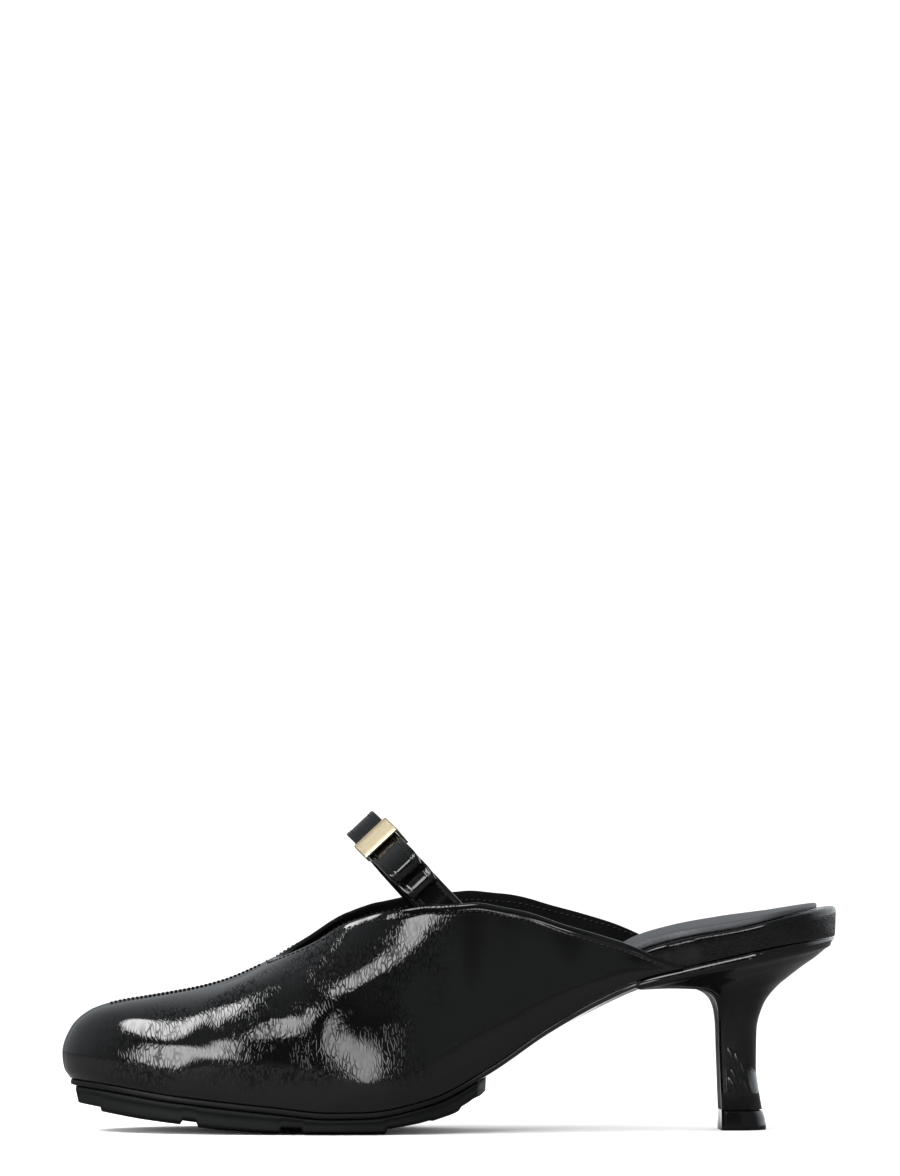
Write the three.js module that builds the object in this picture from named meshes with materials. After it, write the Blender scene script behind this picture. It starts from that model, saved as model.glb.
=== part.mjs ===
// Heeled mule, left shoe: patent upper with a strap and bow, rubber forefoot unit and covered heel.
// Millimetres. The toe points to -X, the outer side of the foot to -Y, up is +Z, the floor is Z = 0.
import * as THREE from "three";

// Driving dimensions
const shoeLength = 240;
const ballWidth = 77;
const seatWidth = 53;
const heelHeight = 60;
const sideHeight = 60;
const instepWidth = 53;
const toeRound = 40;
const toeOverhang = 2.5;
const throatRound = 40;
const clearance = 0.3;

// Places along the shoe
const throatAt = 0.2737 * shoeLength;
const outerWingEnd = 0.792 * shoeLength;
const innerWingEnd = 0.846 * shoeLength;
const wingBlend = 0.025 * shoeLength;
const heelLip = 0.7333 * shoeLength;
const liftStart = 0.849 * shoeLength;
const unitEnd = 0.54 * shoeLength;
const standingFrom = 0.318 * shoeLength;
const standingTo = 0.398 * shoeLength;
const strapBaseAt = 0.481 * shoeLength;
const bedSplit = 0.7 * shoeLength;

// Upper
const upperWall = 1.6;
const wingEdge = 0.9;
const seamHeight = 0.5;
const seamWidth = 2.6;

// Sole, footbed and sock
const outsoleThickness = 1.7;
const waistBulge = 1.2;
const unitInset = 1.2;
const unitBow = 4;
const treadDepth = 1.4;
const treadDome = 1.1;
const randHeight = 9;
const insoleThickness = 2.4;
const sockThickness = 1.7;
const sockCrown = 2.2;
const sockMargin = 2.2;
const sockStart = 9.5;
const sockBackMargin = 6;

// Heel and lift
const seatInset = 0.6;
const liftHeight = 6.1;
const liftLength = 14.4;
const liftWidth = 16;
const liftFlare = 1;
const liftSetback = 0.2;

// Strap, bow and clasp
const strapWidth = 11.2;
const strapThickness = 1.6;
const strapLean = 43;
const strapRise = 25.5;
const strapSink = 0.3;
const strapEase = 0.6;
const strapInsert = 7;
const strapFlare = 0.8;
const bowWidth = 11.2;
const bowLeather = 1;
const lowerLoopReach = 20;
const lowerLoopLift = 1.5;
const upperLoopReach = 15;
const upperLoopLift = 2.4;
const claspTurn = 29;
const claspLength = 9.5;
const claspFlange = 5.5;
const claspFrontDepth = 2;
const claspWall = 0.75;

// Plan of the shoe: `along` is a share of its length, `shift` of the ball width toward the inner
// side, `ball` and `seat` are the shares of the two half widths that add up to the half width.
const planRows = [
  { along: 0.0, shift: 0.055, ball: 0.66, seat: 0.0 },
  { along: 0.083, shift: 0.05, ball: 0.77, seat: 0.0 },
  { along: 0.167, shift: 0.035, ball: 0.89, seat: 0.0 },
  { along: 0.25, shift: 0.012, ball: 0.97, seat: 0.0 },
  { along: 0.325, shift: -0.006, ball: 1.0, seat: 0.0 },
  { along: 0.4, shift: -0.028, ball: 0.95, seat: 0.0 },
  { along: 0.48, shift: -0.048, ball: 0.81, seat: 0.0 },
  { along: 0.5625, shift: -0.058, ball: 0.45, seat: 0.34 },
  { along: 0.645, shift: -0.045, ball: 0.15, seat: 0.7 },
  { along: 0.73, shift: -0.022, ball: 0.0, seat: 0.936 },
  { along: 0.81, shift: -0.006, ball: 0.0, seat: 0.985 },
  { along: 0.8875, shift: 0.0, ball: 0.0, seat: 1.0 },
  { along: 1.0, shift: 0.0, ball: 0.0, seat: 1.0 },
];

// Feather line, where upper and sole meet: `height` is a share of the heel height.
const featherRows = [
  { along: 0.0, height: 0.277 },
  { along: 0.04, height: 0.26 },
  { along: 0.14, height: 0.2 },
  { along: 0.265, height: 0.145 },
  { along: 0.34, height: 0.117 },
  { along: 0.385, height: 0.12 },
  { along: 0.47, height: 0.19 },
  { along: 0.545, height: 0.345 },
  { along: 0.62, height: 0.545 },
  { along: 0.685, height: 0.69 },
  { along: 0.745, height: 0.795 },
  { along: 0.79, height: 0.84 },
  { along: 0.865, height: 0.91 },
  { along: 0.93, height: 0.962 },
  { along: 1.0, height: 1.0 },
];

// Topline above the feather line on the outer and the inner side: shares of the side height.
const toplineRows = [
  { along: 0.274, outer: 0.745, inner: 0.745 },
  { along: 0.312, outer: 0.832, inner: 0.86 },
  { along: 0.37, outer: 0.968, inner: 1.005 },
  { along: 0.41, outer: 1.0, inner: 1.045 },
  { along: 0.455, outer: 0.99, inner: 1.04 },
  { along: 0.52, outer: 0.892, inner: 0.945 },
  { along: 0.573, outer: 0.73, inner: 0.8 },
  { along: 0.643, outer: 0.463, inner: 0.55 },
  { along: 0.715, outer: 0.228, inner: 0.32 },
  { along: 0.76, outer: 0.087, inner: 0.18 },
  { along: 0.792, outer: 0.014, inner: 0.095 },
  { along: 0.846, outer: 0.014, inner: 0.014 },
];

// Where the rib that starts at `foot` on the feather line ends on the topline, shares of length.
const ribRows = [
  { foot: 0.0, top: 0.274 },
  { foot: 0.125, top: 0.283 },
  { foot: 0.25, top: 0.32 },
  { foot: 0.33, top: 0.367 },
  { foot: 0.4, top: 0.413 },
  { foot: 0.47, top: 0.472 },
  { foot: 0.55, top: 0.55 },
  { foot: 0.846, top: 0.846 },
];

// A rib from the feather line up, around the toe: `inward` is the share of its way inward and
// `up` the share of its rise.
const toeRibRows = [
  { rib: 0.0, inward: 0.0, up: 0.0 },
  { rib: 0.04, inward: -0.024, up: 0.075 },
  { rib: 0.1, inward: -0.031, up: 0.211 },
  { rib: 0.2, inward: 0.013, up: 0.423 },
  { rib: 0.3, inward: 0.115, up: 0.569 },
  { rib: 0.4, inward: 0.241, up: 0.634 },
  { rib: 0.5, inward: 0.371, up: 0.672 },
  { rib: 0.6, inward: 0.503, up: 0.71 },
  { rib: 0.7, inward: 0.633, up: 0.753 },
  { rib: 0.8, inward: 0.76, up: 0.813 },
  { rib: 0.9, inward: 0.883, up: 0.9 },
  { rib: 1.0, inward: 1.0, up: 1.0 },
];

// The same for a rib beside the ball.
const ballRibRows = [
  { rib: 0.0, inward: 0.0, up: 0.0 },
  { rib: 0.04, inward: -0.017, up: 0.05 },
  { rib: 0.1, inward: -0.03, up: 0.125 },
  { rib: 0.2, inward: -0.04, up: 0.25 },
  { rib: 0.3, inward: -0.015, up: 0.375 },
  { rib: 0.4, inward: 0.045, up: 0.495 },
  { rib: 0.5, inward: 0.14, up: 0.61 },
  { rib: 0.6, inward: 0.27, up: 0.71 },
  { rib: 0.7, inward: 0.43, up: 0.795 },
  { rib: 0.8, inward: 0.61, up: 0.865 },
  { rib: 0.9, inward: 0.8, up: 0.935 },
  { rib: 1.0, inward: 1.0, up: 1.0 },
];

// A rib of the quarter rises evenly; `swell` is how far it bulges outward, a share of its rise.
const sideRibRows = [
  { rib: 0.0, inward: 0.0, swell: 0.0 },
  { rib: 0.04, inward: 0.005, swell: 0.01 },
  { rib: 0.1, inward: 0.02, swell: 0.022 },
  { rib: 0.2, inward: 0.06, swell: 0.034 },
  { rib: 0.3, inward: 0.12, swell: 0.038 },
  { rib: 0.4, inward: 0.2, swell: 0.038 },
  { rib: 0.5, inward: 0.3, swell: 0.035 },
  { rib: 0.6, inward: 0.42, swell: 0.03 },
  { rib: 0.7, inward: 0.55, swell: 0.022 },
  { rib: 0.8, inward: 0.7, swell: 0.014 },
  { rib: 0.9, inward: 0.85, swell: 0.006 },
  { rib: 1.0, inward: 1.0, swell: 0.0 },
];

// Underside of the rubber unit between its lugs: `height` is a share of the heel height.
const unitRows = [
  { along: 0.018, height: 0.15 },
  { along: 0.05, height: 0.128 },
  { along: 0.1, height: 0.093 },
  { along: 0.155, height: 0.066 },
  { along: 0.2, height: 0.045 },
  { along: 0.25, height: 0.031 },
  { along: 0.3, height: 0.0235 },
  { along: 0.4, height: 0.0235 },
  { along: 0.45, height: 0.05 },
  { along: 0.49, height: 0.095 },
  { along: 0.5, height: 0.11 },
  { along: 0.52, height: 0.155 },
  { along: 0.55, height: 0.215 },
];

// The lugs, and the two small stair steps behind them: `deep` is a share of the tread depth.
const lugRows = [
  { from: 0.05, to: 0.153, deep: 0.9 },
  { from: 0.173, to: 0.278, deep: 1.0 },
  { from: 0.306, to: 0.411, deep: 1.0 },
  { from: 0.47, to: 0.506, deep: 0.3 },
  { from: 0.506, to: 0.521, deep: -0.3 },
  { from: 0.521, to: 0.545, deep: -0.5 },
];

// Height of the footbed's top above the feather line, between insole and full rand height.
const randRows = [
  { along: 0.0, full: 0.0 },
  { along: 0.56, full: 0.0 },
  { along: 0.66, full: 0.3 },
  { along: 0.74, full: 0.93 },
  { along: 0.79, full: 1.0 },
  { along: 0.87, full: 0.86 },
  { along: 0.92, full: 0.93 },
  { along: 1.0, full: 1.1 },
];

// Sections of the heel from seat to lift: `front` and `back` are shares of the shoe's length and
// `frontUp` and `backUp` of the heel height. `seat` is the share of the seat's half width and
// `lift` that of the lift's; together they give the half width.
const heelRows = [
  { front: 0.7333, frontUp: 0.735, back: 0.994, backUp: 0.972, seat: 0.97, lift: 0.0 },
  { front: 0.74, frontUp: 0.73, back: 0.993, backUp: 0.955, seat: 0.9, lift: 0.09 },
  { front: 0.775, frontUp: 0.735, back: 0.986, backUp: 0.935, seat: 0.71, lift: 0.42 },
  { front: 0.811, frontUp: 0.73, back: 0.974, backUp: 0.895, seat: 0.455, lift: 0.81 },
  { front: 0.83, frontUp: 0.708, back: 0.957, backUp: 0.847, seat: 0.255, lift: 1.04 },
  { front: 0.84, frontUp: 0.667, back: 0.94, backUp: 0.795, seat: 0.115, lift: 1.14 },
  { front: 0.844, frontUp: 0.608, back: 0.923, backUp: 0.738, seat: 0.035, lift: 1.1 },
  { front: 0.8455, frontUp: 0.533, back: 0.9055, backUp: 0.643, seat: 0.0, lift: 1.04 },
  { front: 0.846, frontUp: 0.433, back: 0.897, backUp: 0.51, seat: 0.0, lift: 0.96 },
  { front: 0.847, frontUp: 0.317, back: 0.8962, backUp: 0.327, seat: 0.0, lift: 0.945 },
  { front: 0.848, frontUp: 0.2, back: 0.9, backUp: 0.2, seat: 0.0, lift: 0.96 },
];

// Reads a column of a table as a smooth curve that never swings past its rows.
function curveOf(rows, key, value) {
  const slopes = rows.slice(1).map((row, i) => (row[value] - rows[i][value]) / (row[key] - rows[i][key]));
  const tangents = rows.map((row, i) => {
    if (i === 0) return slopes[0];
    if (i === rows.length - 1) return slopes[i - 1];
    const product = slopes[i - 1] * slopes[i];
    return product <= 0 ? 0 : (2 * product) / (slopes[i - 1] + slopes[i]);
  });
  return (at) => {
    const clamped = THREE.MathUtils.clamp(at, rows[0][key], rows[rows.length - 1][key]);
    let i = rows.findIndex((row) => row[key] >= clamped) - 1;
    i = Math.max(i, 0);
    const span = rows[i + 1][key] - rows[i][key];
    const t = (clamped - rows[i][key]) / span;
    const a = rows[i][value];
    const b = rows[i + 1][value];
    const bend = t * (1 - t) * (tangents[i] * (1 - t) - tangents[i + 1] * t) * span;
    return a + (b - a) * t * t * (3 - 2 * t) + bend;
  };
}

const wingEndOf = (side) => (side < 0 ? outerWingEnd : innerWingEnd);
const mix = THREE.MathUtils.lerp;
const smooth = THREE.MathUtils.smoothstep;
const shares = (count) => Array.from({ length: count + 1 }, (_, i) => i / count);

const planShift = curveOf(planRows, "along", "shift");
const planBall = curveOf(planRows, "along", "ball");
const planSeat = curveOf(planRows, "along", "seat");
const featherShare = curveOf(featherRows, "along", "height");
const toplineOuter = curveOf(toplineRows, "along", "outer");
const toplineInner = curveOf(toplineRows, "along", "inner");
const ribTop = curveOf(ribRows, "foot", "top");
const unitShare = curveOf(unitRows, "along", "height");
const randShare = curveOf(randRows, "along", "full");
const toeInward = curveOf(toeRibRows, "rib", "inward");
const toeUp = curveOf(toeRibRows, "rib", "up");
const ballInward = curveOf(ballRibRows, "rib", "inward");
const ballUp = curveOf(ballRibRows, "rib", "up");
const sideInward = curveOf(sideRibRows, "rib", "inward");
const sideSwell = curveOf(sideRibRows, "rib", "swell");

const featherZ = (s) => heelHeight * featherShare(s / shoeLength);
const outsoleTop = (s) => featherZ(s) - clearance;
const soleShift = (s) => ballWidth * planShift(s / shoeLength);

// A width that starts at 0 and rounds out to 1 over `run`.
const roundedEnd = (distance, run, power) =>
  Math.sqrt(1 - (1 - THREE.MathUtils.clamp(distance / run, 0, 1)) ** power);

function soleHalf(s) {
  const base = (ballWidth * planBall(s / shoeLength) + seatWidth * planSeat(s / shoeLength)) / 2;
  const toe = roundedEnd(s - toeOverhang, toeRound, 2.2);
  return base * toe * roundedEnd(shoeLength - s, seatWidth / 2, 2);
}

// A point on the sole's outline, moved inward by `inset`; side is -1 outside and 1 inside.
function outlinePoint(s, side, inset) {
  const edge = (at) => new THREE.Vector2(at, soleShift(at) + side * soleHalf(at));
  const step = 0.05;
  const before = edge(Math.max(s - step, toeOverhang));
  const after = edge(Math.min(s + step, shoeLength));
  const tangent = after.sub(before).normalize();
  const outward = new THREE.Vector2(-tangent.y * side, tangent.x * side);
  return { at: edge(s).addScaledVector(outward, -inset), outward };
}

// Stations between two places, closer together toward a rounded toe or back.
const toeStations = (from, to, count) => shares(count).map((t) => from + (to - from) * t ** 1.8);
const backStations = (from, to, count) => shares(count).map((t) => to - (to - from) * (1 - t) ** 1.8);

// The points around a grid's edge, as rows of [row, column].
function edgeCells(rowCount, columnCount) {
  const cells = [];
  for (let i = 0; i < rowCount; i++) cells.push([i, 0]);
  for (let j = 1; j < columnCount; j++) cells.push([rowCount - 1, j]);
  for (let i = rowCount - 2; i >= 0; i--) cells.push([i, columnCount - 1]);
  for (let j = columnCount - 2; j > 0; j--) cells.push([0, j]);
  return cells;
}

// A closed solid from a stack of grids: the first and last are its faces, and the edges of those
// between them are the rings of its side.
function solidOf(grids) {
  const rowCount = grids[0].length;
  const columnCount = grids[0][0].length;
  const cells = edgeCells(rowCount, columnCount);
  const points = [];
  const faces = [];
  const last = grids.length - 1;
  const index = grids.map((grid, level) => {
    if (level === 0 || level === last) {
      return grid.map((row) => row.map((point) => points.push(point) - 1));
    }
    const ring = new Map();
    cells.forEach(([i, j]) => ring.set(`${i},${j}`, points.push(grid[i][j]) - 1));
    return ring;
  });
  const at = (level, [i, j]) => {
    const points = index[level];
    return points instanceof Map ? points.get(`${i},${j}`) : points[i][j];
  };
  const quad = (a, b, c, d) => faces.push(a, b, c, a, c, d);
  for (let i = 0; i < rowCount - 1; i++) {
    for (let j = 0; j < columnCount - 1; j++) {
      quad(at(0, [i, j]), at(0, [i + 1, j]), at(0, [i + 1, j + 1]), at(0, [i, j + 1]));
      quad(at(last, [i, j]), at(last, [i, j + 1]), at(last, [i + 1, j + 1]), at(last, [i + 1, j]));
    }
  }
  for (let level = 0; level < last; level++) {
    cells.forEach((cell, k) => {
      const next = cells[(k + 1) % cells.length];
      quad(at(level, cell), at(level + 1, cell), at(level + 1, next), at(level, next));
    });
  }
  return geometryOf(points, faces);
}

// A geometry from its points and faces, turned outward where the faces came out inside out.
function geometryOf(points, faces) {
  let volume = 0;
  for (let k = 0; k < faces.length; k += 3) {
    const [a, b, c] = [points[faces[k]], points[faces[k + 1]], points[faces[k + 2]]];
    volume += a.dot(new THREE.Vector3().crossVectors(b, c));
  }
  const ordered = volume > 0 ? faces : faces.toReversed();
  const geometry = new THREE.BufferGeometry();
  const coordinates = points.flatMap((point) => point.toArray());
  geometry.setAttribute("position", new THREE.Float32BufferAttribute(coordinates, 3));
  geometry.setIndex(ordered);
  geometry.computeVertexNormals();
  return geometry;
}

const soleColumns = 6;

// A slab of the sole: its outline follows the plan, `side` lists its edge from top to bottom.
function slab({ stations, inset, topAt, bottomAt, side, bend = () => 0 }) {
  const grids = side.map(({ down, out }) =>
    stations.map((s) => {
      const left = outlinePoint(s, -1, inset(s, -1) - out).at;
      const right = outlinePoint(s, 1, inset(s, 1) - out).at;
      return shares(soleColumns).map((t) => {
        const plan = left.clone().lerp(right, t);
        plan.x += bend(s, Math.abs(2 * t - 1));
        const half = Math.max(soleHalf(plan.x), 0.01);
        const reach = Math.min(Math.abs(plan.y - soleShift(plan.x)) / half, 1);
        const top = topAt(plan.x, reach);
        return new THREE.Vector3(plan.x, plan.y, mix(top, bottomAt(plan.x, reach), down));
      });
    }),
  );
  return solidOf(grids);
}

// The plan of the topline: half its width and its middle, at a station behind the throat.
function toplinePoint(s, side) {
  const closing = smooth(wingEndOf(side) - s, 0, shoeLength * 0.2);
  const half = mix(soleHalf(s), instepWidth / 2, closing);
  const middle = mix(soleShift(s), 0, closing);
  const front = roundedEnd(s - throatAt, throatRound, 1.5);
  const share = (side < 0 ? toplineOuter : toplineInner)(s / shoeLength);
  const up = featherZ(s) + sideHeight * share;
  return new THREE.Vector3(s, middle + side * half * front, up);
}

// A point of the upper's outer face: `foot` is its station on the feather line and `rib` the
// share of its way up the rib from there to the topline.
function upperPoint(foot, side, rib) {
  const { at, outward } = outlinePoint(foot, side, 0);
  const base = new THREE.Vector3(at.x, at.y, featherZ(foot));
  const top = toplinePoint(shoeLength * ribTop(foot / shoeLength), side);
  const toeToBall = smooth(foot, toeOverhang, shoeLength * 0.25);
  const ballToSide = smooth(foot, shoeLength * 0.25, shoeLength * 0.46);
  const inward = mix(mix(toeInward(rib), ballInward(rib), toeToBall), sideInward(rib), ballToSide);
  const up = mix(mix(toeUp(rib), ballUp(rib), toeToBall), rib, ballToSide);
  const rise = top.z - base.z;
  const swell = sideSwell(rib) * ballToSide * rise;
  return new THREE.Vector3(
    mix(base.x, top.x, inward) + outward.x * swell,
    mix(base.y, top.y, inward) + outward.y * swell,
    base.z + rise * up,
  );
}

// The upper: ribs from the outer wing around the toe to the inner wing, with an inner face one
// wall further in and a raised seam along the middle.
function buildUpper() {
  const ribCount = 25;
  const ribSpread = 0.2;
  const footAt = (t, side) =>
    toeOverhang + ((wingEndOf(side) - toeOverhang) * (1 + ribSpread) * t * t) / (t + ribSpread);
  const sides = [0.02, 0.045, ...shares(ribCount).slice(2)];
  const ribs = [
    ...sides.toReversed().map((t) => ({ foot: footAt(t, -1), side: -1, skive: t })),
    { foot: toeOverhang, side: 1, skive: 0 },
    ...sides.map((t) => ({ foot: footAt(t, 1), side: 1, skive: t })),
  ];
  const rows = shares(13).map((t) => t ** 1.25);
  const face = ribs.map(({ foot, side }) => rows.map((rib) => upperPoint(foot, side, rib)));
  const normalAt = (i, j) => {
    const along = face[Math.min(i + 1, ribs.length - 1)][j].clone().sub(face[Math.max(i - 1, 0)][j]);
    const up = face[i][Math.min(j + 1, rows.length - 1)].clone().sub(face[i][Math.max(j - 1, 0)]);
    if (j === 0) up.set(0, 0, 1);
    return up.cross(along).normalize();
  };
  const seamRib = sides.length;
  const inner = face.map((row, i) => row.map((point, j) => {
    const wall = mix(upperWall, wingEdge, smooth(ribs[i].skive, 0.9, 1));
    return point.clone().addScaledVector(normalAt(i, j), -wall);
  }));
  const outer = face.map((row, i) => row.map((point, j) => {
    const away = point.distanceTo(face[seamRib][j]);
    const height = seamHeight * (1 - smooth(away, seamWidth * 0.3, seamWidth * 0.5)) * smooth(j, 0, 2);
    return point.clone().addScaledVector(normalAt(i, j), height);
  }));
  return solidOf([outer, inner]);
}

// The outsole's underside swells downward across the waist.
function outsoleBottom(s, reach) {
  const swell = waistBulge * smooth(s, shoeLength * 0.42, shoeLength * 0.6) * (1 - reach ** 2);
  return outsoleTop(s) - outsoleThickness - swell;
}

// The outsole: a thin sole from the toe to the heel's lip.
function buildOutsole() {
  return slab({
    stations: toeStations(toeOverhang * 1.1, heelLip - clearance, 34),
    inset: () => 0,
    topAt: outsoleTop,
    bottomAt: outsoleBottom,
    side: [
      { down: 0, out: -0.4 },
      { down: 0.2, out: 0 },
      { down: 0.75, out: 0 },
      { down: 1, out: -0.5 },
    ],
  });
}

// The rubber unit: its underside carries the lugs, and its edge a rounded lip near the top.
function buildForefootSole() {
  const lugAt = (s) => lugRows.find(({ from, to }) => s > from * shoeLength && s < to * shoeLength);
  const underside = (s, reach) => {
    const dome = treadDome * smooth(reach, 0.72, 1);
    const depth = treadDepth * (lugAt(s)?.deep ?? 0);
    const level = heelHeight * unitShare(s / shoeLength) - depth;
    const standing = s > standingFrom && s < standingTo;
    return (standing ? 0 : Math.max(level, 0)) + dome;
  };
  const edgeStep = 0.175;
  const lugEdges = lugRows
    .flatMap(({ from, to }) => [from * shoeLength, to * shoeLength])
    .flatMap((edge) => [edge - edgeStep, edge + edgeStep]);
  const standingEdges = [standingFrom + edgeStep, standingTo - edgeStep];
  const fill = toeStations(toeOverhang + unitInset + 0.1, unitEnd, 24)
    .filter((s) => lugEdges.every((edge) => Math.abs(edge - s) > 1.2));
  const stations = [...new Set([...fill, ...lugEdges, ...standingEdges])].sort((a, b) => a - b);
  return slab({
    stations,
    inset: () => unitInset,
    bend: (s, reach) => -unitBow * smooth(s, unitEnd - shoeLength * 0.12, unitEnd) * reach ** 2,
    topAt: (s, reach) => outsoleBottom(s, reach) - clearance,
    bottomAt: underside,
    side: [
      { down: 0, out: 0 },
      { down: 0.12, out: 0.7 },
      { down: 0.28, out: 0.7 },
      { down: 0.42, out: 0 },
      { down: 0.85, out: 0 },
      { down: 1, out: -0.8 },
    ],
  });
}

// How far the footbed's edge lies inside the outline: within the walls, and flush behind them.
const footbedInset = (s, side) => {
  const wing = wingEndOf(side);
  return mix(upperWall + clearance, 0, smooth(s, wing - wingBlend, wing + wingBlend));
};
const footbedTop = (s) => featherZ(s) + mix(insoleThickness, randHeight, randShare(s / shoeLength));

const bedStations = [
  ...toeStations(toeOverhang + upperWall * 1.5, bedSplit, 20),
  ...backStations(bedSplit, shoeLength - 0.15, 18).slice(1),
];

function buildFootbed() {
  return slab({
    stations: bedStations,
    inset: footbedInset,
    topAt: footbedTop,
    bottomAt: (s) => featherZ(s) + 0.02,
    side: [
      { down: 0, out: -1.3 },
      { down: 0.06, out: -0.5 },
      { down: 0.18, out: 0 },
      { down: 0.92, out: 0 },
      { down: 1, out: -0.4 },
    ],
  });
}

// The padded sock, crowned across the seat. Its margin to the edge grows toward the rounded back.
function buildSockPad() {
  const margin = (s) => mix(sockMargin, sockBackMargin, smooth(s, shoeLength * 0.88, shoeLength));
  const crown = (s) => {
    const rising = smooth(s, shoeLength * 0.58, shoeLength * 0.74);
    const falling = 1 - smooth(s, shoeLength * 0.85, shoeLength * 0.95);
    return sockCrown * rising * falling;
  };
  const base = (s) => footbedTop(s) + clearance;
  return slab({
    stations: bedStations.filter((s) => s > sockStart),
    inset: (s, side) => footbedInset(s, side) + margin(s),
    topAt: (s, reach) => base(s) + sockThickness + crown(s) * (1 - reach ** 2),
    bottomAt: (s) => base(s),
    side: [
      { down: 0, out: -0.9 },
      { down: 0.35, out: 0 },
      { down: 1, out: 0 },
    ],
  });
}

// The half width of the D outline of heel and lift at a share of its way back, as a share of the
// full one: a flat breast with rounded corners in front, and a round back.
function outlineD(share) {
  const corner = 0.12;
  const roundFrom = 0.4;
  const breast = 1 - 0.16 * (1 - Math.min(share / corner, 1)) ** 2;
  const turn = Math.max(share - roundFrom, 0) / (1 - roundFrom);
  return breast * Math.sqrt(1 - turn ** 2);
}

// Shares of the way back, closer together toward the round back, which ends in a narrow facet.
const wayBack = (count) => shares(count).map((t) => 0.992 * Math.sin((t * Math.PI) / 2));

// The heel: the seat's surface on top, then one ring for each row of its table.
function buildHeel() {
  const along = wayBack(14);
  const across = shares(6);
  const seat = along.map((share) => {
    const s = mix(heelLip, shoeLength - seatInset, share);
    const half = soleHalf(s) - seatInset;
    return across.map((t) => new THREE.Vector3(s, soleShift(s) + (2 * t - 1) * half, outsoleTop(s)));
  });
  const section = (row) => along.map((share) => {
    const s = shoeLength * mix(row.front, row.back, share);
    const seatStation = mix(heelLip, shoeLength, share);
    const half = soleHalf(seatStation) * row.seat + (liftWidth / 2) * outlineD(share) * row.lift;
    const up = heelHeight * mix(row.frontUp, row.backUp, share);
    return across.map((t) => {
      const y = soleShift(seatStation) * row.seat + (2 * t - 1) * half;
      return new THREE.Vector3(s, y, up);
    });
  });
  const foot = along.map((share) => {
    const s = liftStart + (liftLength - liftFlare - liftSetback) * share;
    const half = (liftWidth / 2) * outlineD(share);
    return across.map((t) => new THREE.Vector3(s, (2 * t - 1) * half, liftHeight + clearance));
  });
  return solidOf([seat, ...heelRows.map(section), foot]);
}

// The top lift: the heel's tip outline, flaring a little toward the floor at the back.
function buildTopLift() {
  const level = ({ up, flare }) => wayBack(12).map((share) => {
    const s = liftStart + (liftLength - liftFlare * (1 - flare)) * share;
    const half = (liftWidth / 2 - liftSetback + (liftFlare / 2) * flare) * outlineD(share);
    return shares(4).map((t) => new THREE.Vector3(s, (2 * t - 1) * half, liftHeight * up));
  });
  return solidOf([
    { up: 1, flare: 0 },
    { up: 0.6, flare: 0.7 },
    { up: 0, flare: 1 },
  ].map(level));
}

// The strap's arch lies in a plane that leans toward the toe. `lift` is measured up that plane
// from the topline, and the strap's width runs across it.
const lean = THREE.MathUtils.degToRad(strapLean);
const archUp = new THREE.Vector3(-Math.sin(lean), 0, Math.cos(lean));
const archAcross = new THREE.Vector3(Math.cos(lean), 0, Math.sin(lean));
const archBase = toplinePoint(strapBaseAt, -1).z - strapSink;
const archHalf = instepWidth / 2 - upperWall - clearance - strapThickness / 2 - strapEase;

// A place on the arch by its turn from the top, toward the outer side, in degrees.
function archPoint(turn) {
  const angle = THREE.MathUtils.degToRad(turn);
  const side = new THREE.Vector2(-archHalf * Math.sin(angle), strapRise * Math.cos(angle));
  const outward = new THREE.Vector2(-strapRise * Math.sin(angle), archHalf * Math.cos(angle)).normalize();
  return { side, outward };
}

// Turns and distances along the arch, measured from the clasp toward the outer side.
const archTable = (() => {
  const quarter = 90;
  const rows = [];
  let distance = 0;
  let previous = archPoint(-quarter).side;
  for (let turn = -quarter; turn <= quarter; turn += 1) {
    const { side } = archPoint(turn);
    distance += side.distanceTo(previous);
    previous = side;
    rows.push({ turn, distance });
  }
  const claspDistance = curveOf(rows, "turn", "distance")(claspTurn);
  return rows.map((row) => ({ turn: row.turn, reach: row.distance - claspDistance }));
})();
const turnAt = curveOf(archTable, "reach", "turn");

// A point in the arch's plane, moved across it by `wide`.
const leaning = (place, wide) =>
  new THREE.Vector3(strapBaseAt, place.x, archBase)
    .addScaledVector(archUp, place.y)
    .addScaledVector(archAcross, wide);

// A point of the bow: `reach` along the arch from the clasp, `off` outward from the strap's
// middle and `wide` across the strap.
function bowPoint(reach, off, wide) {
  const { side, outward } = archPoint(turnAt(reach));
  return leaning(side.addScaledVector(outward, off), wide);
}

// The corners of a band's cross section, as [across, out].
const bandCorners = [[-1, -1], [1, -1], [1, 1], [-1, 1]];

// A band of leather from its cross sections, four points each; a closed one is a ring.
function bandOf(sections, closed) {
  const count = sections.length;
  const faces = [];
  for (let i = 0; i < (closed ? count : count - 1); i++) {
    const a = i * 4;
    const b = ((i + 1) % count) * 4;
    for (let k = 0; k < 4; k++) {
      const next = (k + 1) % 4;
      faces.push(a + k, a + next, b + next, a + k, b + next, b + k);
    }
  }
  if (!closed) {
    const end = (count - 1) * 4;
    faces.push(2, 1, 0, 3, 2, 0, end, end + 1, end + 2, end, end + 2, end + 3);
  }
  return geometryOf(sections.flat(), faces);
}

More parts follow.
